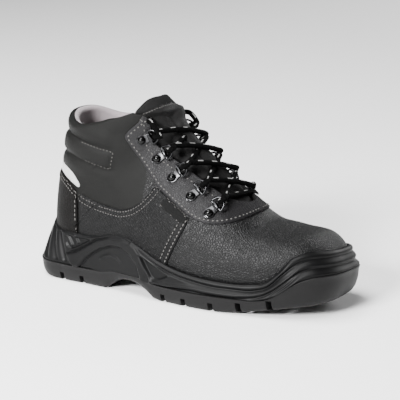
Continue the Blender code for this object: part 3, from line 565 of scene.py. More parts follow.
def rim_path(skins, name):
    """The loop of edge points: down the inner throat, up the outer one, and round the collar."""
    lateral, medial = (getattr(skin, name) for skin in skins)
    first = int(np.argmax(SKIN_ROWS >= THROAT))
    return np.concatenate([medial[:first:-1, -1], lateral[first:, -1], lateral[-1, -2::-1], medial[-1, 1:-1]])


def rim_rings(outer, inner, normal):
    """Rings of a half round edge from the outer skin over to the lining."""
    out = unit(np.cross(np.roll(outer, -1, 0) - np.roll(outer, 1, 0), normal))
    across, middle = (outer - inner) / 2, (outer + inner) / 2
    width = np.linalg.norm(across, axis=1, keepdims=True)
    if out[-SKIN_COLUMNS:, 2].mean() < 0:
        out = -out
    return [middle + math.cos(t) * across + RIM_BULGE * math.sin(t) * width * out
            for t in np.linspace(0, math.pi, RIM_STEPS)]


# Panels laid on the upper, as outlines in the side view

EYESTAY = ((-36, 175), (-35, 157), (-49, 144), (-50.5, 139), (-41, 124), (-18, 100), (-3, 91), (21, 77),
           (31, 74.5), (44, 73.5), (56, 75.5), (67, 79.5), (80, 88), (90, 120), (20, 175))
QUARTER_TOP = ((-100, 85.5), (-88, 80), (-76, 77), (-54, 74.5), (-42, 77.5), (-33, 83), (-24, 92), (-19, 100))
QUARTER_FRONT = ((-3.4, 90.4), (20.6, 76.2), (12, 58), (2, 37))
COUNTER = ((-155, 101), (-137, 100), (-121, 96.5), (-110, 91), (-101, 84.5))
COUNTER_EDGE = -100.6
REFLECTIVE = ((-155, 110), (-137, 109), (-119, 107), (-107, 102), (-98, 92), (-99, 88.5), (-110, 93.4),
              (-121, 98.2), (-137, 101.2), (-155, 102))
LABEL = ((-5.4, 91.2), (19.4, 76.4), (13.6, 70.4), (-11, 84.6))
LEATHER, PANEL_ROUND, PANEL_PUFF, PANEL_SINK, BELOW_SOLE = 1.4, 1.3, 0.6, 0.8, 4.0
CORNER_CUT = 0.2
BAND_AT, BAND_RISE, BAND_WIDTH = 4.7, 0.9, 1.5

# How the finder looks for a place: its grid, steps, flattest surface, longest moves and last miss
FINDER_ROWS, FINDER_TURNS, FINDER_FROM = 460, 240, 0.2
FIND_U, FIND_PHI, FIND_FLAT, MOVE_U, MOVE_PHI, MISS = 0.01, 0.005, 8.0, 0.05, 0.03, 0.7


def inside(points, outline):
    """Which (x, z) points lie in a closed outline."""
    x, z = points[..., 0], points[..., 1]
    found = np.zeros(x.shape, bool)
    for (ax, az), (bx, bz) in zip(outline, np.roll(outline, -1, 0)):
        crosses = (az > z) != (bz > z)
        found ^= crosses & (x < (bx - ax) * (z - az) / (bz - az + 1e-12) + ax)
    return found


def rounded(outline, closed=True, times=2):
    """The outline with its corners cut a little."""
    line = np.array(outline, float)
    keep = 1 - CORNER_CUT
    for _ in range(times):
        ahead = np.roll(line, -1, 0)
        both = np.stack([keep * line + CORNER_CUT * ahead, CORNER_CUT * line + keep * ahead], 1)
        both = both.reshape(-1, line.shape[1])
        line = both if closed else np.concatenate([line[:1], both[1:-3], line[-1:]])
    return line


def resample(line, step):
    """Points at even steps along a line."""
    line = np.asarray(line, float)
    length = np.concatenate([[0], np.cumsum(np.linalg.norm(np.diff(line, axis=0), axis=1))])
    at = np.linspace(0, length[-1], max(int(length[-1] / step), 2))
    return np.stack([np.interp(at, length, line[:, k]) for k in range(line.shape[1])], -1)


class Finder:
    """Finds the section and turn of the surface point seen at a place in the side view."""

    def __init__(self, side):
        self.side = side
        rows, turns = np.linspace(FINDER_FROM, COLLAR, FINDER_ROWS), np.linspace(0.0, math.pi, FINDER_TURNS)
        self.u, self.phi = (a.ravel() for a in np.meshgrid(rows, turns))
        self.tree = kd_tree(last_point(self.u, self.phi, side) * NO_SIDEWAYS)

    def seen(self, u, phi):
        return last_point(u, phi, self.side)[:, (0, 2)]

    def find(self, places):
        """Sections and turns of (x, z) places, and whether each lies on the surface."""
        index = [self.tree.find((x, 0.0, z))[1] for x, z in places]
        u, phi = self.u[index], self.phi[index]
        for _ in range(3):
            here = self.seen(u, phi)
            du = (self.seen(u + FIND_U, phi) - here) / FIND_U
            dp = (self.seen(u, phi + FIND_PHI) - here) / FIND_PHI
            det = du[:, 0] * dp[:, 1] - du[:, 1] * dp[:, 0]
            det = np.where(np.abs(det) < FIND_FLAT, np.inf, det)
            miss = places - here
            move_u = (miss[:, 0] * dp[:, 1] - miss[:, 1] * dp[:, 0]) / det
            move_phi = (du[:, 0] * miss[:, 1] - du[:, 1] * miss[:, 0]) / det
            u = np.clip(u + np.clip(move_u, -MOVE_U, MOVE_U), 0.0, COLLAR)
            phi = np.clip(phi + np.clip(move_phi, -MOVE_PHI, MOVE_PHI), 0, math.pi)
        return u, phi, np.linalg.norm(self.seen(u, phi) - places, axis=1) < MISS


FINDERS = {side: Finder(side) for side, _ in SIDES}
PANEL_ROWS = even_rows((4.0, THROAT, 40), (THROAT, THROAT + 1, 30), (THROAT + 1, COLLAR, 190))
PANEL_COLUMNS = 110
PANEL_SKINS = {side: Skin(PANEL_ROWS, PANEL_COLUMNS, side) for side, _ in SIDES}


def trace(line, side, step):
    """Points of a side view line on one side of the upper, with their normals."""
    u, phi, seen = FINDERS[side].find(resample(line, step))
    seen &= phi <= throat_angle(u, side) + 0.01
    u, phi = u[seen], phi[seen]
    return last_point(u, phi, side), last_normal(u, phi, side)


def panel(name, outline, material, nodes, sides=(LATERAL, MEDIAL), lift=0.3, thick=LEATHER,
          swell=None, soft=2):
    """A leather piece with rounded edges, lying on the upper inside a side view outline."""
    outline = rounded(outline, True, soft)
    points, normals, heights, faces = [], [], [], []
    for side in sides:
        skin = PANEL_SKINS[side]
        within = inside(skin.point[..., (0, 2)], outline).ravel()
        quads = grid_faces(*skin.shape, side == MEDIAL)
        used, quads = np.unique(quads[within[quads].any(1)], return_inverse=True)
        edge, edge_normal = trace(np.concatenate([outline, outline[:1]]), side, 0.6)
        tree = kd_tree(edge)
        place, normal = skin.point.reshape(-1, 3)[used], skin.normal.reshape(-1, 3)[used]
        far = np.zeros(len(used))
        for k, index in enumerate(used):
            _, near, distance = tree.find(place[k])
            if within[index]:
                far[k] = distance
            else:
                place[k], normal[k] = edge[near], edge_normal[near]
        height = lift + thick * quarter_round(far / PANEL_ROUND) + puff(place) * PANEL_PUFF
        if swell:
            height += swell(place)
        faces.append(quads.reshape(-1, 4) + sum(len(p) for p in points))
        points.append(place)
        normals.append(normal)
        heights.append(height)
    normals, heights = np.concatenate(normals), np.concatenate(heights)[:, None]
    points = np.concatenate(points) + heights * normals
    obj = piece(name, points, np.concatenate(faces), [material], merge=False)
    close_edge(obj, normals * -(heights + PANEL_SINK) * MM)
    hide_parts(*nodes)
    return obj


def close_edge(obj, ways):
    """Draws a panel's open edge down into the upper, each point by its own way in."""
    def draw(made):
        sink = made.verts.layers.float_vector.new("sink")
        for vert, way in zip(made.verts, ways):
            vert[sink] = Vector(way)
        weld(made)
        edges = [e for e in made.edges if len(e.link_faces) == 1]
        rim = dict.fromkeys(vert for edge in edges for vert in edge.verts)
        lower = {vert: made.verts.new(vert.co + vert[sink]) for vert in rim}
        for loop in [edge.link_loops[0] for edge in edges]:
            first, second = loop.vert, loop.link_loop_next.vert
            made.faces.new((second, first, lower[first], lower[second]))
        made.verts.layers.float_vector.remove(sink)

    change_mesh(obj.data, draw)
    obj.data.shade_smooth()


def seam_band(place):
    """The raised band between the two rows of the quarter's front seam."""
    away = line_distance(place[:, 0], place[:, 2], QUARTER_FRONT[1:])
    return BAND_RISE * bump(away - BAND_AT, BAND_WIDTH)


def make_panels():
    edge, seat = ([(x, float(along(SOLE_TOP, x)) - BELOW_SOLE) for x in places]
                  for places in (np.arange(0, -101.0, -10.0), (COUNTER_EDGE, -112, -124, -132, -138)))
    eyestay = panel("eyestay_leather", EYESTAY, FACING_PAINTED_LIGHT, ["eyestay"])
    quarters = [panel(f"quarter_leather_{name}", [*QUARTER_TOP, *QUARTER_FRONT, *edge], PEBBLED,
                      [f"quarter_{name}"], (side,), swell=seam_band) for side, name in SIDES]
    outline = [*COUNTER, *seat, (COUNTER[0][0], seat[-1][1])]
    counter = panel("counter_leather", outline, BACKSTAY, ["heel_counter"], lift=0.8)
    panel("reflective_cloth", REFLECTIVE, REFLECT, ["reflective_strip"], lift=0.2, thick=0.7)
    tag = panel("tag", LABEL, TAG, ["label_tab"], (LATERAL,), lift=1.7, thick=0.8, soft=0)
    sew_panels(eyestay, quarters, counter, tag)


# Stitches

ROLL_SEAM = ((-93, 132.2), (-80, 129.4), (-61.5, 125.6), (-65.5, 109.6), (-80, 112.2), (-90, 114.6))
COUNTER_SEAM = ((COUNTER_EDGE, 84.0), (COUNTER_EDGE, 47.0))
THROAT_SEAM_FROM, THROAT_SEAM_TO, THROAT_SEAM_TURN = 0.55, 0.4, 0.11
BOOT_MIDDLE = np.array((-20.0, 0.0, 70.0))
SEW_REACH = 6.0


class Sewing(Heap):
    """Collects stitches as small rounded bars and makes them one mesh."""

    RINGS = ((-1.0, 0.3), (-0.7, 0.9), (0.0, 1.1), (0.7, 0.9), (1.0, 0.3))
    TURNS = np.arange(6) * math.pi / 3
    FLAT, BEDDED = 0.7, 0.45

    def bar(self, centre, ahead, up, half, radius):
        across = np.cross(up, ahead)
        points = [centre + ahead * half * t
                  + radius * width * (math.cos(a) * across + self.FLAT * math.sin(a) * up)
                  for t, width in self.RINGS for a in self.TURNS]
        self.add(points, loop_faces(len(self.RINGS), len(self.TURNS)))

    def row(self, line, tree, pitch, half, radius):
        """Stitches along a 3-D line, laid on the surface of a tree."""
        line = resample(line, pitch)
        for i, place in enumerate(line):
            hit, normal, _, distance = tree.find_nearest(Vector(place))
            if hit is None or distance > SEW_REACH:
                continue
            up = np.array(normal)
            if up @ (place - BOOT_MIDDLE) < 0 and abs(up[1]) > 0.2:
                up = -up
            ahead = line[min(i + 1, len(line) - 1)] - line[max(i - 1, 0)]
            ahead = unit(ahead - up * (ahead @ up))
            self.bar(np.array(hit) + up * radius * self.BEDDED, ahead, up, half, radius)

    def make(self, name, material):
        piece(name, np.concatenate(self.points), self.faces, [material], merge=False)


def beside(line, side, offset):
    """A line on the upper beside a side view line, to its right as the outer side shows it."""
    points, normals = trace(line, side, 1.0)
    right = unit(np.cross(normals, np.gradient(points, axis=0)) * side)
    return points + offset * right + normals


def sew_panels(eyestay, quarters, counter, tag):
    """Pale and dark rows, each with a line, a surface, and the stitches' pitch, half length and radius."""
    light, dark = Sewing(), Sewing()
    stay, heel, body = tree_of(eyestay), tree_of(counter), tree_of(bpy.data.objects["upper_leather"])
    for (side, _), obj in zip(SIDES, quarters):
        quarter = tree_of(obj)
        light.row(beside(rounded(EYESTAY[1:13], False), side, -2.8), stay, 3.9, 0.85, 0.6)
        u = np.linspace(THROAT + THROAT_SEAM_FROM, COLLAR - THROAT_SEAM_TO, 160)
        phi = throat_angle(u, side) - THROAT_SEAM_TURN
        light.row(last_point(u, phi, side) + 2.0 * last_normal(u, phi, side), stay, 4.3, 0.9, 0.5)
        for inset in (2.2, 6.4):
            dark.row(beside(rounded(QUARTER_TOP, False), side, inset), quarter, 2.9, 0.9, 0.45)
            light.row(beside(rounded(COUNTER[1:], False), side, inset * 0.6), heel, 2.9, 1.0, 0.38)
        for inset in (2.4, 7.0):
            light.row(beside(QUARTER_FRONT[1:], side, inset), quarter, 3.2, 1.1, 0.5)
        light.row(beside(COUNTER_SEAM, side, 2.2), heel, 3.6, 1.3, 0.5)
        dark.row(beside(ROLL_SEAM, side, 0.0), body, 3.2, 0.85, 0.42)
        if side == LATERAL:
            dark.row(beside([*LABEL, LABEL[0]], side, 1.3), tree_of(tag), 2.4, 0.9, 0.4)
    light.make("stitches", THREAD)
    dark.make("dark_stitches", DARK_THREAD)


# Tongue, with its rows along the last's sections and s from -1 at the outer edge to 1 at the inner one

TONGUE_HALF = ((5.1, 14), (5.6, 24), (7, 28), (9, 29.5), (12, 30), (15, 29.5), (16, 28), (16.4, 25),
               (16.7, 20), (16.9, 13), (17, 7))
TONGUE_SINK, SINK_END = ((5, 0), (8, 3), (10, 5.5), (14, 5.5), (15.8, 0), (17, 0)), (-0.1, 0.4)
TONGUE_PAD, TONGUE_DEPTH, WIDEST_SHARE = 5.0, 3.8, 0.985
EAR_REACH, EAR_AT, EAR_WIDTH = 4.0, 16.1, 0.4
TONGUE_ROWS, TONGUE_COLUMNS = 120, 61
SIDE_ROUND, TIP_ROUND = 7, 26
SEAM_AT, SEAM_FALL, SEAM_DEPTH, SEAM_WIDTH, SEWN_BELOW, UNSEWN = 16.3, 0.75, 0.9, 0.035, 0.09, 3
# Swells as place across, width and rise, and the rows where they start and end
TONGUE_SWELLS, SWELL_FROM, SWELL_TO = ((0.58, 0.3, 7.0), (-0.35, 0.2, 1.5)), (5.6, 8), (14.6, 16.9)
RIPPLE, RIPPLE_TURN, RIPPLE_SKEW, RIPPLE_FROM = 0.15, 2.4, 1.1, (6, 9)


def make_tongue():
    """A padded leaf under the throat: leather below its seam, cloth over its top edge."""
    rows = np.linspace(TONGUE_HALF[0][0], TONGUE_HALF[-1][0], TONGUE_ROWS)
    s = np.linspace(-1, 1, TONGUE_COLUMNS)
    middle = np.zeros((TONGUE_ROWS, TONGUE_COLUMNS, 3))
    normal = np.zeros_like(middle)
    u = np.broadcast_to(rows[:, None], middle.shape[:2])
    measures = section(rows)
    centre = s == 0
    for side, _ in SIDES:
        ear = EAR_REACH * bump(rows - EAR_AT, EAR_WIDTH) if side == LATERAL else 0.0
        share = np.clip((along(TONGUE_HALF, rows) + ear) / half_width(measures, side), 0, WIDEST_SHARE)
        edge = np.arcsin(share ** (measures["high_power"] / 2))
        phi = math.pi - edge[:, None] * np.abs(s)
        here, up = last_point(u, phi, side), last_normal(u, phi, side)
        up[:, centre] *= NO_SIDEWAYS
        take = (s * side > 0) | centre
        middle[:, take], normal[:, take] = here[:, take], up[:, take]
    normal = unit(normal)
    sink = along(TONGUE_SINK, rows)[:, None] * (1 - s ** 2) * (1 - ease(*SINK_END, s))
    middle = middle - (TONGUE_DEPTH + TONGUE_PAD / 2 + sink)[..., None] * normal
    tip = (rows[:, None] - rows[0]) / (rows[-1] - rows[0])
    full = np.sqrt(1 - np.abs(s) ** SIDE_ROUND) * np.sqrt(1 - tip ** TIP_ROUND)
    half_thick = TONGUE_PAD / 2 * full
    below_seam = SEAM_AT - SEAM_FALL * s ** 2 - rows[:, None]
    slack = RIPPLE * np.sin(rows[:, None] * RIPPLE_TURN + RIPPLE_SKEW * s) * full
    slack *= ease(*RIPPLE_FROM, rows)[:, None]
    slack -= SEAM_DEPTH * bump(below_seam, SEAM_WIDTH) * full
    for at, width, rise in TONGUE_SWELLS:
        slack += rise * bump(s - at, width) * (ease(*SWELL_FROM, rows) * (1 - ease(*SWELL_TO, rows)))[:, None]
    front = middle + (half_thick + slack)[..., None] * normal
    back = middle - half_thick[..., None] * normal
    faces = np.concatenate([grid_faces(TONGUE_ROWS, TONGUE_COLUMNS, False),
                            grid_faces(TONGUE_ROWS, TONGUE_COLUMNS, True, TONGUE_ROWS * TONGUE_COLUMNS)])
    in_cloth = (below_seam[:-1, :-1] < 0).ravel()
    slots = np.concatenate([np.where(in_cloth, 1, 0), np.where(in_cloth, 1, 2)])
    points = np.concatenate([front.reshape(-1, 3), back.reshape(-1, 3)])
    tongue = piece("tongue_pad", points, faces, [TONGUE_LEATHER, TONGUE_CLOTH, LINING], slots,
                   nodes=["tongue"])
    columns = np.arange(TONGUE_COLUMNS)[UNSEWN:-UNSEWN]
    sewn = np.argmin(np.abs(below_seam - SEWN_BELOW), 0)[columns]
    sewing = Sewing()
    sewing.row(front[sewn, columns] + normal[sewn, columns], tree_of(tongue), 2.8, 0.95, 0.36)
    sewing.make("tongue_stitches", DARK_THREAD)


# Sole, with lines of its side in the side view

SOLE_TOP = ((-138, 54), (-132, 52.5), (-124, 47.5), (-112, 46.5), (-90, 46), (-74, 48), (-60, 51.5),
            (-46, 51.5), (-30, 46.5), (-10, 38), (15, 31), (40, 27.5), (65, 26.5), (88, 28.5), (104, 38),
            (116, 49.5), (127, 53.5), (136, 54.5), (140, 54.5))
PART_LINE = ((-138, 16.5), (-100, 16), (-75, 16), (-58, 18.5), (-30, 18.5), (-8, 15), (15, 14.5), (60, 14.5),
             (82, 14.5), (95, 16.5), (107, 22), (120, 32), (132, 36.5), (140, 37.5))
TREAD_LINE = ((-138, 2.5), (-128, 0.6), (-120, 0), (-70, 0), (-62, 5), (-52, 11), (-40, 12.5), (-30, 11),
              (-20, 6), (-12, 0.8), (-6, 0), (48, 0), (70, 2.2), (93, 6), (106, 8.5), (120, 10.5), (143, 13))
FLARE = ((-138, 22), (-128, 17), (-112, 9), (-80, 6), (-45, 4), (-15, 4.5), (40, 5.5), (80, 6), (110, 7.5),
         (130, 8.5), (143, 9))
HEEL_CENTRE, TOE_CENTRE = (-100.0, 0.0), (86.0, 5.0)
MEASURE_HEIGHT, FLOOR_CLEAR = 40.0, 2.5
HEEL_STEPS, SIDE_STEPS, TOE_STEPS, SIDE_LEVELS = 70, 220, 56, 64
LIP, THINNEST, CUP_GAP = 3.0, 1.8, 0.8
SEAT_INSET, SEAT_DEPTH = 8.0, 6.0
TOE_ROLL, TOE_ROLL_FROM, PART_ROLL = 0.1, (92.0, 114.0), 0.9

# Forefoot: lines, and rounds along them as height, distance above the line and width
FOREFOOT_FROM, TOE_CALM, TOE_CALMED = (-24.0, -4.0), (110.0, 132.0), 0.45
LIP_FOOT = ((-30, 41.5), (-15, 35.5), (7, 28.5), (27, 25), (54, 22.5), (78, 22.5), (94, 26), (108, 37),
            (119, 46), (128, 49.5), (140, 50.5))
FORE_RIDGE = ((2, 17.5), (28, 19), (44, 18.2), (64, 18), (83, 19.5), (100, 26), (110, 33), (120, 42),
              (129, 45.5), (140, 46.5))
TOE_GROOVE = ((99, 19.5), (109, 26), (120, 37.5), (129, 41), (140, 42))
LIP_CREASE, RIDGE, RIDGE_CREASE = (-1.7, -0.4, 1.5), (1.3, 0.0, 1.7), (-1.2, -3.0, 1.2)
TOE_CREASE, TOE_ROUND = (-1.0, 0.0, 1.3), (0.7, -2.8, 1.5)
RIDGE_CREASE_FROM, TOE_FROM = (-4, 12), (94, 106)

# Arch and heel: the band's edges, sunk panels with their depths, and raised lines with heights and widths
BAND_HIGH = ((-112, 27), (-100, 31), (-87, 39), (-77, 45), (-62, 50), (-46, 50), (-37, 48), (-31, 45),
             (-28, 42), (-21, 30), (-15, 19), (-12, 10))
BAND_LOW = ((-100, 12), (-87, 27), (-79, 33), (-70, 38), (-60, 41.5), (-50, 42), (-38, 37.5), (-31, 31),
            (-27, 20), (-25, 8))
ARCH_FROM, ARCH_TO, ARCH_RISE, ARCH_ROUND = (-120, -104), (-24, -12), 2.2, 3.0
HIGH_CREASE, LOW_CREASE, HIGH_CREASE_FROM = (1.2, 0.9), (0.8, 0.9), (-114, -104)
PANEL_RECESS = ((-114, 44), (-96, 43.5), (-82, 43.5), (-90, 39), (-100, 33.5), (-107, 31), (-113, 34))
WEDGE_RECESS = ((-27, 40), (-8, 31), (6, 25.5), (-4, 20.5), (-13, 19.5), (-20, 29))
BOSS = ((-72, 28), (-68, 31), (-61, 33), (-54, 32), (-49, 28))
RECESSES, RECESS_EDGE = ((PANEL_RECESS, 1.6), (WEDGE_RECESS, 1.5)), (-0.3, 1.3)
RAISED_LINES = ((BAND_HIGH[6:], 1.5, 0.9), (WEDGE_RECESS[:3], 0.9, 0.9), (BOSS, 0.7, 1.1))
BARS, BAR_RISE, BAR_EDGE = (((-111, 42), (-106, 35)), ((-103, 43.5), (-99, 38))), 1.7, (0.7, 1.5)
FLUTES, FLUTE_LEAN, FLUTE_WIDTH, FLUTE_DEPTH = (0.26, 0.53, 0.8, 1.06, 1.3), -0.3, 0.06, 1.7
FLUTE_FROM, FLUTE_TO, FLUTE_CLOSED, HEEL_END = (0.02, 0.14), (0.9, 1.0), 0.8, -80

# Midsole's edges: how far its foot draws up over the arch, and its rounded rims as depth and width
DRAW_FROM, DRAW_TO, FOOT_RIM, TOP_RIM = (-86, -72), (-22, -6), (0.7, 0.8), (1.0, 0.7)
CUP_LEVELS, CUP_CLEAR, CUP_GAP_END, CUP_MIDDLE = (0.0, 0.12, 0.4, 1.0), 0.3, 0.1, 2.0


def line_distance(x, z, line):
    """Distance in the side view from places to a line."""
    found = np.full(np.shape(x), np.inf)
    for (ax, az), (bx, bz) in zip(line, line[1:]):
        run, rise = bx - ax, bz - az
        f = np.clip(((x - ax) * run + (z - az) * rise) / (run * run + rise * rise), 0, 1)
        found = np.minimum(found, np.hypot(x - ax - f * run, z - az - f * rise))
    return found


def depth_in(x, z, outline):
    """Distance inside an outline in the side view, negative outside."""
    outline = rounded(outline, True, 1)
    away = line_distance(x, z, np.concatenate([outline, outline[:1]]))
    return np.where(inside(np.stack([x, z], -1), outline), away, -away)


class Sole:
    """The sole's measures round its outline: heel's back, outer side, toe and inner side."""

    def __init__(self):
        points, faces = [], []
        for side, _ in SIDES:
            skin = Skin(SKIN_ROWS, SKIN_COLUMNS, side)
            faces += grid_faces(*skin.shape, False, len(points)).tolist()
            points += skin.point.reshape(-1, 3).tolist()
        self.tree = BVHTree.FromPolygons(points, faces)
        heel, toe, right = np.array(HEEL_CENTRE), np.array(TOE_CENTRE), math.pi / 2
        half = [(heel, right * k / HEEL_STEPS) for k in range(HEEL_STEPS)]
        half += [(heel + (toe - heel) * k / SIDE_STEPS, right) for k in range(SIDE_STEPS)]
        half += [(toe, right * (1 + k / TOE_STEPS)) for k in range(TOE_STEPS + 1)]
        loop = [(o, t, LATERAL) for o, t in half] + [(o, t, MEDIAL) for o, t in half[-2:0:-1]]
        self.origin, self.turn, self.side = (np.array(values) for values in zip(*loop))
        self.way = np.stack([-np.cos(self.turn), self.side * np.sin(self.turn)], -1)
        measure = self.reach(np.full(len(loop), MEASURE_HEIGHT))
        self.x, y = (self.origin + self.way * measure[:, None]).T
        self.floor = bed(self.x) + FLOOR_LIFT
        self.roll = -TOE_ROLL * (y - TOE_CENTRE[1]) * ease(*TOE_ROLL_FROM, self.x)
        self.top = along(SOLE_TOP, self.x) + self.roll
        self.part = along(PART_LINE, self.x) + PART_ROLL * self.roll
        self.tread = along(TREAD_LINE, self.x)
        self.outline = measure + along(FLARE, self.x)
        self.seat = np.minimum(self.part, self.floor - SEAT_DEPTH)

    def reach(self, height):
        """Distance out to the upper along each ray."""
        return np.array([self.tree.ray_cast(Vector((*o, z)), Vector((*w, 0.0)))[3]
                         for o, w, z in zip(self.origin, self.way, height)])

    def upper(self, height):
        return self.reach(np.maximum(height, self.floor + FLOOR_CLEAR))

    def at(self, distance, height):
        return np.concatenate([self.origin + self.way * distance[:, None], height[:, None]], 1)


def fore_relief(sole, z):
    """The bumper's rounds along the forefoot and the toe."""
    fore = ease(*FOREFOOT_FROM, sole.x) * (1 - TOE_CALMED * ease(*TOE_CALM, sole.x))
    toe = ease(*TOE_FROM, sole.x)
    lip, ridge, groove = (along(line, sole.x) + sole.roll for line in (LIP_FOOT, FORE_RIDGE, TOE_GROOVE))
    found = fore * bump(z - (lip + sole.top) / 2, (sole.top - lip) / 2 + 0.5)
    for share, line, (height, above, width) in (
            (fore, lip, LIP_CREASE), (fore, ridge, RIDGE),
            (fore * ease(*RIDGE_CREASE_FROM, sole.x), ridge, RIDGE_CREASE),
            (toe, groove, TOE_CREASE), (toe, groove, TOE_ROUND)):
        found += share * height * bump(z - line - above, width)
    return found


def rear_relief(sole, x, z, f):
    """The arch band, the sunk panels, the raised lines and the heel's flutes."""
    high, low = line_distance(x, z, BAND_HIGH), line_distance(x, z, BAND_LOW)
    in_band = inside(np.stack([x, z], -1), np.array(BAND_HIGH + BAND_LOW[::-1], float))
    found = np.where(in_band, ARCH_RISE * quarter_round(np.minimum(high, low) / ARCH_ROUND), 0.0)
    found -= HIGH_CREASE[0] * bump(high, HIGH_CREASE[1]) * ease(*HIGH_CREASE_FROM, x)
    found -= LOW_CREASE[0] * bump(low, LOW_CREASE[1])
    found *= ease(*ARCH_FROM, x) * (1 - ease(*ARCH_TO, x))
    for line, height, width in RAISED_LINES:
        found += height * bump(line_distance(x, z, line), width)
    for outline, depth in RECESSES:
        found -= depth * ease(*RECESS_EDGE, depth_in(x, z, outline))
    for bar in BARS:
        found += BAR_RISE * (1 - ease(*BAR_EDGE, line_distance(x, z, bar)))
    open_share = ease(*FLUTE_FROM, f) * (1 - FLUTE_CLOSED * ease(*FLUTE_TO, f))
    for start in FLUTES:
        away = np.where(sole.x < HEEL_END, sole.turn - start - FLUTE_LEAN * f, math.pi)
        found -= FLUTE_DEPTH * bump(away, FLUTE_WIDTH) * open_share
    return found


def make_midsole(sole):
    brim = sole.upper(sole.top) + CUP_GAP + LIP
    arch = ease(*DRAW_FROM, sole.x) * (1 - ease(*DRAW_TO, sole.x))
    low = sole.part + GAP - arch
    tall = sole.top - low
    rings = [sole.at(sole.outline - SEAT_INSET, sole.seat + 2 * GAP)]
    for f in np.linspace(0, 1, SIDE_LEVELS):
        z = low + tall * f
        distance = sole.outline + (brim - sole.outline) * f
        x = sole.at(distance, z)[:, 0]
        distance = distance + fore_relief(sole, z) + rear_relief(sole, x, z, f)
        distance -= FOOT_RIM[0] * (1 - arch) * bump(f * tall, FOOT_RIM[1])
        distance -= TOP_RIM[0] * bump((1 - f) * tall, TOP_RIM[1])
        rings.append(sole.at(np.maximum(distance, sole.upper(z) + CUP_GAP + THINNEST), z))
    for f in CUP_LEVELS:
        z = sole.top + (sole.floor - sole.top) * f
        distance = sole.upper(z) + CUP_GAP * (1 - ease(0, CUP_GAP_END, f)) + CUP_CLEAR
        rings.append(sole.at(distance, z + CUP_CLEAR * (f == 0)))
    rings.append(sole.at(np.full(len(sole.x), CUP_MIDDLE), sole.floor))
    faces = loop_faces(len(rings), len(sole.x))
    piece("midsole_skin", np.concatenate(rings), faces, [RUBBER], nodes=["midsole"])


# Tread: levels as share of the height and inset, and the cuts across and along it

TREAD_LEVELS = ((0.0, 4.5), (0.06, 3.0), (0.22, 1.6), (0.4, 0.9), (0.55, 0.4), (0.75, 0.15), (0.9, 0.0),
                (0.94, -0.35), (0.98, -0.45), (1.0, 0.2))
TOE_INSET, TOE_INSET_FROM = 0.6, (95.0, 135.0)
GROOVE_DEPTH, GROOVE_WIDTH, GROOVE_SWEEP, GROOVE_REACH = 7.5, 4.5, 0.18, 90.0
GROOVES = (-109.5, -87.0, 7.5, 29.5, 56.5, 81.5, 107.5)
CHANNEL_WIDTH, CHANNEL_DEPTH, CUT_BELOW = 5.0, 4.6, -1.0
CHANNELS = ((-124, -74), (-4, 88))
TREAD_SHARP = math.radians(40)


def cut_box(low, high, turn, place):
    """A box between two corners, turned about its place."""
    bpy.ops.mesh.primitive_cube_add(size=1.0)
    made = bpy.context.object
    low, high = Vector(low) * MM, Vector(high) * MM
    move = Matrix.Translation(Vector(place) * MM) @ Matrix.Rotation(turn, 4, "Z")
    made.data.transform(move @ Matrix.Translation((low + high) / 2) @ Matrix.Diagonal((*(high - low), 1.0)))
    return made


def tread_cuts():
    cuts = []
    for x in GROOVES:
        place = Vector((x, 0.0, float(along(TREAD_LINE, x)))) + Vector(SHIFT)
        for side, _ in SIDES:
            half, (near, far) = GROOVE_WIDTH / 2, sorted((0.0, side * GROOVE_REACH))
            low, high = (-half, near, CUT_BELOW), (half, far, GROOVE_DEPTH)
            cuts.append(cut_box(low, high, side * GROOVE_SWEEP, place))
    half = CHANNEL_WIDTH / 2
    for start, end in CHANNELS:
        cuts.append(cut_box((start, -half, CUT_BELOW), (end, half, CHANNEL_DEPTH), 0.0, SHIFT))
    return cuts


def make_outsole(sole):
    rings = []
    for share, inset in TREAD_LEVELS:
        more = TOE_INSET * ease(*TOE_INSET_FROM, sole.x) if share < 1 else 0.0
        height = sole.tread + (sole.part - sole.tread) * share
        rings.append(sole.at(sole.outline - inset * (1 + more), height))
    rings.append(sole.at(sole.outline - SEAT_INSET, sole.seat))
    count = len(sole.x)
    faces = loop_faces(len(rings), count).tolist()
    for start in (0, (len(rings) - 1) * count):
        for i in range(count // 2):
            corners = dict.fromkeys((i, i + 1, (count - i - 1) % count, (count - i) % count))
            faces.append([start + c for c in corners])
    obj = piece("outsole_skin", np.concatenate(rings), faces, [TREAD],
                nodes=["outsole"])
    change_mesh(obj.data, face_out)
    cuts = tread_cuts()
    for cut in cuts:
        groove = obj.modifiers.new("groove", "BOOLEAN")
        groove.operation, groove.solver, groove.object = "DIFFERENCE", "EXACT", cut
    bpy.context.view_layer.update()
    mesh = bpy.data.meshes.new_from_object(obj.evaluated_get(bpy.context.evaluated_depsgraph_get()))
    obj.modifiers.clear()
    obj.data = mesh
    for cut in cuts:
        bpy.data.objects.remove(cut)
    mesh.shade_smooth()
    mesh.set_sharp_from_angle(angle=TREAD_SHARP)


# Lacing

RIVETS = ((-36.5, 138.0), (-21.0, 122.0), (-3.5, 107.5), (17.0, 94.0), (36.0, 81.5))
RIVET_RADIUS, RIVET_RISE, RIVET_BRIM, RIVET_SIDES = 3.35, 2.8, 0.5, 20
BRIM_EDGE, BRIM_TOP = 0.3, 0.45
PLATE_LIFT, PLATE_TAIL, PLATE_HALF, PLATE_THICK = 2.4, 5.2, 4.4, 0.85
PLATE_TIP, PLATE_WAIST, PLATE_WAIST_FROM = 0.02, 0.74, (1.0, 5.0)
PLATE_SECTION = ((-1, 0.15), (-1, 0.85), (-0.9, 1.0), (0.9, 1.0), (1, 0.85), (1, 0.15), (0.9, 0.0),
                 (-0.9, 0.0))
LOOP_AT, LOOP_RADIUS, LOOP_END = 8.4, 2.2, 175
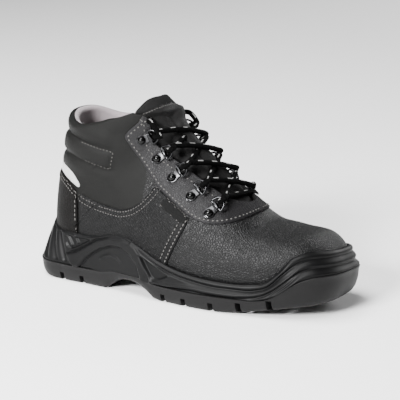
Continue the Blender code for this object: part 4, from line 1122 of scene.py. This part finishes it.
# The strap's lighter metal band lies between these distances, partly bare metal and partly painted highlight
STRAP_PAINTED_HIGHLIGHT, STRAP_TURN = (3.5, 7.9), math.radians(14.0)
WIRE, WIRE_SIDES = 1.0, 12
RING_HALF, RING_REACH = 6.2, 8.6
RING_TILT = {LATERAL: (18, 16, 16, 16, 16), MEDIAL: (46, 32, 14, -6, -24)}
LACE_RADIUS, LACE_LEAN, LACE_SIDES, LACE_STEP = 2.4, 1.56, 12, 0.8
# Through a ring: how much the lace rises over its wire, and how far past the ring it is led
RING_LEAD = {LATERAL: (1.0, 1.9), MEDIAL: (1.5, 3.4)}
LACE_BOWS, BOW_OVER, BOW_UNDER, BAR_BOW = (1.2, 0.3, 0.0, 0.0), 2.2, -1.8, -0.5
LACE_UP = np.array((0.5, 0.0, 0.866))
RUN_SHARES = (0.2, 0.35, 0.5, 0.65, 0.8)
FLECK_PERIOD, FLECK_LENGTH = 15.5, 5.6
FLECK_SIDE = np.array((0.2, -0.45, 0.87))
LACE_ORDER = ((MEDIAL, 0), (LATERAL, 1), (MEDIAL, 2), (LATERAL, 3), (MEDIAL, 4), (LATERAL, 4), (MEDIAL, 3),
              (LATERAL, 2), (MEDIAL, 1), (LATERAL, 0))


class Eyelet:
    """A local frame at a rivet: across points to the throat, down along it, and out off the leather."""

    def __init__(self, x, z, side, tilt):
        u, phi, _ = FINDERS[LATERAL].find(np.array([(x, z)]))
        u, phi = u[0], phi[0]
        self.side, self.tilt = side, math.radians(tilt)
        self.origin, self.out = last_point(u, phi, side), last_normal(u, phi, side)
        across = last_point(u, phi + 0.02, side) - last_point(u, phi - 0.02, side)
        across = unit(across - self.out * (across @ self.out))
        down = np.cross(self.out, across) * side
        self.across = math.cos(STRAP_TURN) * across + math.sin(STRAP_TURN) * down
        self.down = math.cos(STRAP_TURN) * down - math.sin(STRAP_TURN) * across

    def at(self, across, down, out):
        return self.origin + across * self.across + down * self.down + out * self.out

    def ring_at(self, down, reach_out, above=0.0):
        """A point in the plane of the D-ring, or above it."""
        cosine, sine = math.cos(self.tilt), math.sin(self.tilt)
        return self.at(LOOP_AT + reach_out * cosine - above * sine, down,
                       PLATE_LIFT + LOOP_RADIUS + reach_out * sine + above * cosine)


def tube(path, radius, sides, closed=False):
    """Points and faces of a tube along a path, with caps unless it is closed."""
    path = np.asarray(path, float)
    ahead, behind = np.roll(path, -1, 0), np.roll(path, 1, 0)
    if not closed:
        ahead[-1], behind[0] = path[-1], path[0]
    tangent = unit(ahead - behind)
    normal = np.cross(tangent[0], (0.31, 0.17, 0.93))
    turns = np.arange(sides)[:, None] * 2 * math.pi / sides
    rings = []
    for p, t in zip(path, tangent):
        normal = unit(normal - t * (normal @ t))
        rings.append(p + radius * (np.cos(turns) * normal + np.sin(turns) * np.cross(t, normal)))
    if closed:
        return np.concatenate(rings + rings[:1]), loop_faces(len(rings) + 1, sides).tolist()
    return np.concatenate(rings), capped_faces(len(rings), sides)


def ring_shape(eyelet):
    turns = np.radians(np.linspace(-90, 90, 33))
    arc = [eyelet.ring_at(RING_HALF * math.sin(t), RING_REACH * math.cos(t)) for t in turns]
    bar = [arc[-1] + (arc[0] - arc[-1]) * f for f in np.linspace(0, 1, 9)[1:-1]]
    return tube(arc + bar, WIRE, WIRE_SIDES, closed=True)


def strap_shape(eyelet):
    """The folded strap: a rounded tail under the rivet, and a curl round the ring's bar."""
    path = [(a, 0.0) for a in np.linspace(-PLATE_TAIL, LOOP_AT, 15)]
    path += [(LOOP_AT + LOOP_RADIUS * math.cos(t), LOOP_RADIUS * (1 + math.sin(t)))
             for t in np.radians(np.linspace(-90, LOOP_END, 23))[1:]]
    path = np.array(path)
    ahead = unit(np.gradient(path, axis=0))
    rings = []
    for (a, out), (run, rise) in zip(path, ahead):
        half = PLATE_HALF * PLATE_WAIST
        if out == 0:
            half = PLATE_HALF * (1 - (1 - PLATE_WAIST) * ease(*PLATE_WAIST_FROM, a))
            half *= math.sqrt(max(1 - min(a / PLATE_TAIL, 0.0) ** 2, PLATE_TIP))
        rings.append([eyelet.at(a - rise * t * PLATE_THICK, w * half,
                                PLATE_LIFT + out + run * t * PLATE_THICK) for w, t in PLATE_SECTION])
    sides = len(PLATE_SECTION)
    # A band of lighter metal on the flat strap, partly painted highlight
    flat, (low, high) = path[:-1, 1] == 0, STRAP_PAINTED_HIGHLIGHT
    highlight_band = flat & (path[:-1, 0] > low) & (path[:-1, 0] < high)
    slots = [*np.repeat(highlight_band.astype(int), sides), 0, 0]
    return np.concatenate(rings), capped_faces(len(rings), sides), slots


def rivet_shape(eyelet):
    brim = RIVET_RADIUS + RIVET_BRIM
    profile = [(brim, 0.0), (brim, BRIM_EDGE), (RIVET_RADIUS, BRIM_TOP)]
    profile += [(RIVET_RADIUS * math.cos(t), BRIM_TOP + RIVET_RISE * math.sin(t))
                for t in np.radians(np.linspace(8, 86, 9))]
    turns = np.arange(RIVET_SIDES) * 2 * math.pi / RIVET_SIDES
    points = [eyelet.at(r * math.cos(a), r * math.sin(a), PLATE_LIFT + PLATE_THICK + h)
              for r, h in profile for a in turns]
    return points, capped_faces(len(profile), RIVET_SIDES)


def through_ring(eyelet):
    """The lace's way through a ring: in over the wire, down through it and out beneath."""
    lean = -eyelet.side * LACE_LEAN
    rise, past = RING_LEAD[eyelet.side]
    way = [eyelet.ring_at(lean, RING_REACH + past, 1.6 * rise),
           eyelet.ring_at(lean * 0.9, RING_REACH + 0.4, 2.7 * rise),
           eyelet.ring_at(lean * 0.4, RING_REACH - 2.8, 2.0 * rise),
           eyelet.ring_at(-lean * 0.4, RING_REACH - 2.9, -1.8),
           eyelet.ring_at(-lean * 0.9, RING_REACH + 0.2, -3.1),
           eyelet.ring_at(-lean, RING_REACH + past, -2.2)]
    return way[::-1] if eyelet.side == LATERAL else way


def lace_end(eyelet):
    """The end of the lace, which leaves its top ring upwards and tucks in behind the tongue's edge."""
    return [eyelet.ring_at(0.0, 5.0, -9.0) + np.array((-8.0, 0.0, 10.0)),
            eyelet.ring_at(-2.0, 5.0, -4.0) + np.array((-7.0, 0.0, 9.0)),
            eyelet.ring_at(-6.0, 8.0, 2.0) + np.array((-2.0, 0.0, 5.0))]


def lace_path(eyelets):
    """The lace's points from top ring to top ring, bowed between the rings."""
    path = lace_end(eyelets[LACE_ORDER[0]])
    for before, key in zip((None,) + LACE_ORDER, LACE_ORDER):
        way = through_ring(eyelets[key])
        if before:
            (_, outer), (_, inner) = sorted((before, key))
            over = outer < inner
            if outer > inner or outer == inner and key[0] == MEDIAL:
                way = way[::-1]
            bow = BAR_BOW
            if outer != inner:
                bow = LACE_BOWS[min(outer, inner)] + (BOW_OVER if over else BOW_UNDER)
            start, run = path[-1], way[0] - path[-1]
            path += [start + run * f + LACE_UP * bow * math.sin(math.pi * f) for f in RUN_SHARES]
        path += way
    return path + lace_end(eyelets[LACE_ORDER[-1]])[::-1]


def make_lace(eyelets):
    path = np.array(lace_path(eyelets))
    fine = resample(spline(path, np.linspace(0, len(path) - 1, len(path) * 10)), LACE_STEP)
    points, faces = tube(fine, LACE_RADIUS, LACE_SIDES)
    outward = points.reshape(len(fine), LACE_SIDES, 3) - fine[:, None]
    front = np.argmax((outward + np.roll(outward, -1, 1))[:-1] @ FLECK_SIDE, 1)
    slots = np.zeros((len(fine) - 1, LACE_SIDES), int)
    for turn, start in ((0, 0.0), (LACE_SIDES // 2, 0.5)):
        spot = (np.arange(len(fine) - 1) * LACE_STEP + start * FLECK_PERIOD) % FLECK_PERIOD < FLECK_LENGTH
        slots[spot, (front[spot] + turn) % LACE_SIDES] = 1
    nodes = [f"lace_cross_{i}" for i in range(1, len(RIVETS))] + ["lace_bar"]
    piece("lace", points, faces, [CORD, FLECK], [*slots.ravel(), 0, 0], merge=False,
          nodes=nodes)


def make_lacing():
    eyelets = {(side, i): Eyelet(x, z, side, RING_TILT[side][i])
               for side, _ in SIDES for i, (x, z) in enumerate(RIVETS)}
    names = [f"{name}_{i}" for _, name in SIDES for i in range(1, len(RIVETS) + 1)]
    for name, shape, materials, node_name in (
            ("ring_wires", ring_shape, [GUNMETAL], "d_ring_"),
            ("ring_straps", strap_shape, [GUNMETAL, PLATE_WITH_PAINTED_HIGHLIGHT], "eyelet_plate_"),
            ("rivet_heads", rivet_shape, [BALL], "rivet_")):
        heap = Heap()
        for eyelet in eyelets.values():
            heap.add(*shape(eyelet))
        heap.make(name, materials, [node_name + n for n in names], "gunmetal")
    make_lace(eyelets)


# Stage, in metres, with the camera's place in the row frame's millimetres

EYE, LOOK_AZIMUTH, LOOK_ELEVATION = np.array((649.7, -1081.2, 394.5)), math.radians(31.0), math.radians(14.0)
FOCAL, SENSOR, FRAME_SHIFT, FARTHEST = 130.65, 36.0, (0.0163, 0.0029), 20.0
FLOOR_HALF, FLOOR_DARK, FLOOR_LIGHT = 4, (0.9, 0.9, 0.9), (0.92, 0.92, 0.92)
WORLD_STRENGTH = 0.12
# Lights as name, place, target, size and power
LIGHTS = (("top", (-0.4, -0.6, 2.1), (0.0, 0.0, 0.0), (2.0, 1.2), 125.0),
          ("key", (-0.2, -1.6, 0.85), (0.0, 0.0, 0.08), (0.6, 0.4), 118.0),
          ("back", (0.8, 3.4, 1.5), (0.5, 2.2, 0.0), (3.0, 0.8), 85.0))


def place_object(name, data, place, look):
    obj = bpy.data.objects.new(name, data)
    obj.location = place
    obj.rotation_euler = look.to_track_quat("-Z", "Y").to_euler()
    bpy.context.scene.collection.objects.link(obj)
    return obj


def make_stage():
    material, tree, base = shader("floor_paper", FLOOR_DARK, 0.9)
    tint(tree, base, noise(tree, 40.0, 2.0), FLOOR_DARK, FLOOR_LIGHT)
    mesh = bpy.data.meshes.new("floor")
    corners = [(x * FLOOR_HALF, y * FLOOR_HALF, 0) for x, y in ((-1, -1), (1, -1), (1, 1), (-1, 1))]
    mesh.from_pydata(corners, [], [(0, 1, 2, 3)])
    link("floor", mesh, [material])
    world = bpy.data.worlds.new("studio")
    bpy.context.scene.world = world
    world.use_nodes = True
    background = world.node_tree.nodes["Background"]
    background.inputs["Color"].default_value = (1.0, 1.0, 1.0, 1.0)
    background.inputs["Strength"].default_value = WORLD_STRENGTH
    for name, place, target, size, power in LIGHTS:
        data = bpy.data.lights.new(name, "AREA")
        data.shape = "RECTANGLE"
        data.size, data.size_y = size
        data.energy = power
        place_object(name, data, place, Vector(target) - Vector(place))
    camera = bpy.data.cameras.new("camera")
    camera.lens, camera.sensor_width, camera.clip_end = FOCAL, SENSOR, FARTHEST
    camera.shift_x, camera.shift_y = FRAME_SHIFT
    level = math.cos(LOOK_ELEVATION)
    across, ahead = -math.sin(LOOK_AZIMUTH), math.cos(LOOK_AZIMUTH)
    look = Vector((across * level, ahead * level, -math.sin(LOOK_ELEVATION)))
    bpy.context.scene.camera = place_object("camera", camera, EYE * MM, look)


make_stage()
make_upper()
make_panels()
make_tongue()
sole = Sole()
make_midsole(sole)
make_outsole(sole)
make_lacing()
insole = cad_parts["insole"]
insole.data.materials.clear()
insole.data.materials.append(FELT)
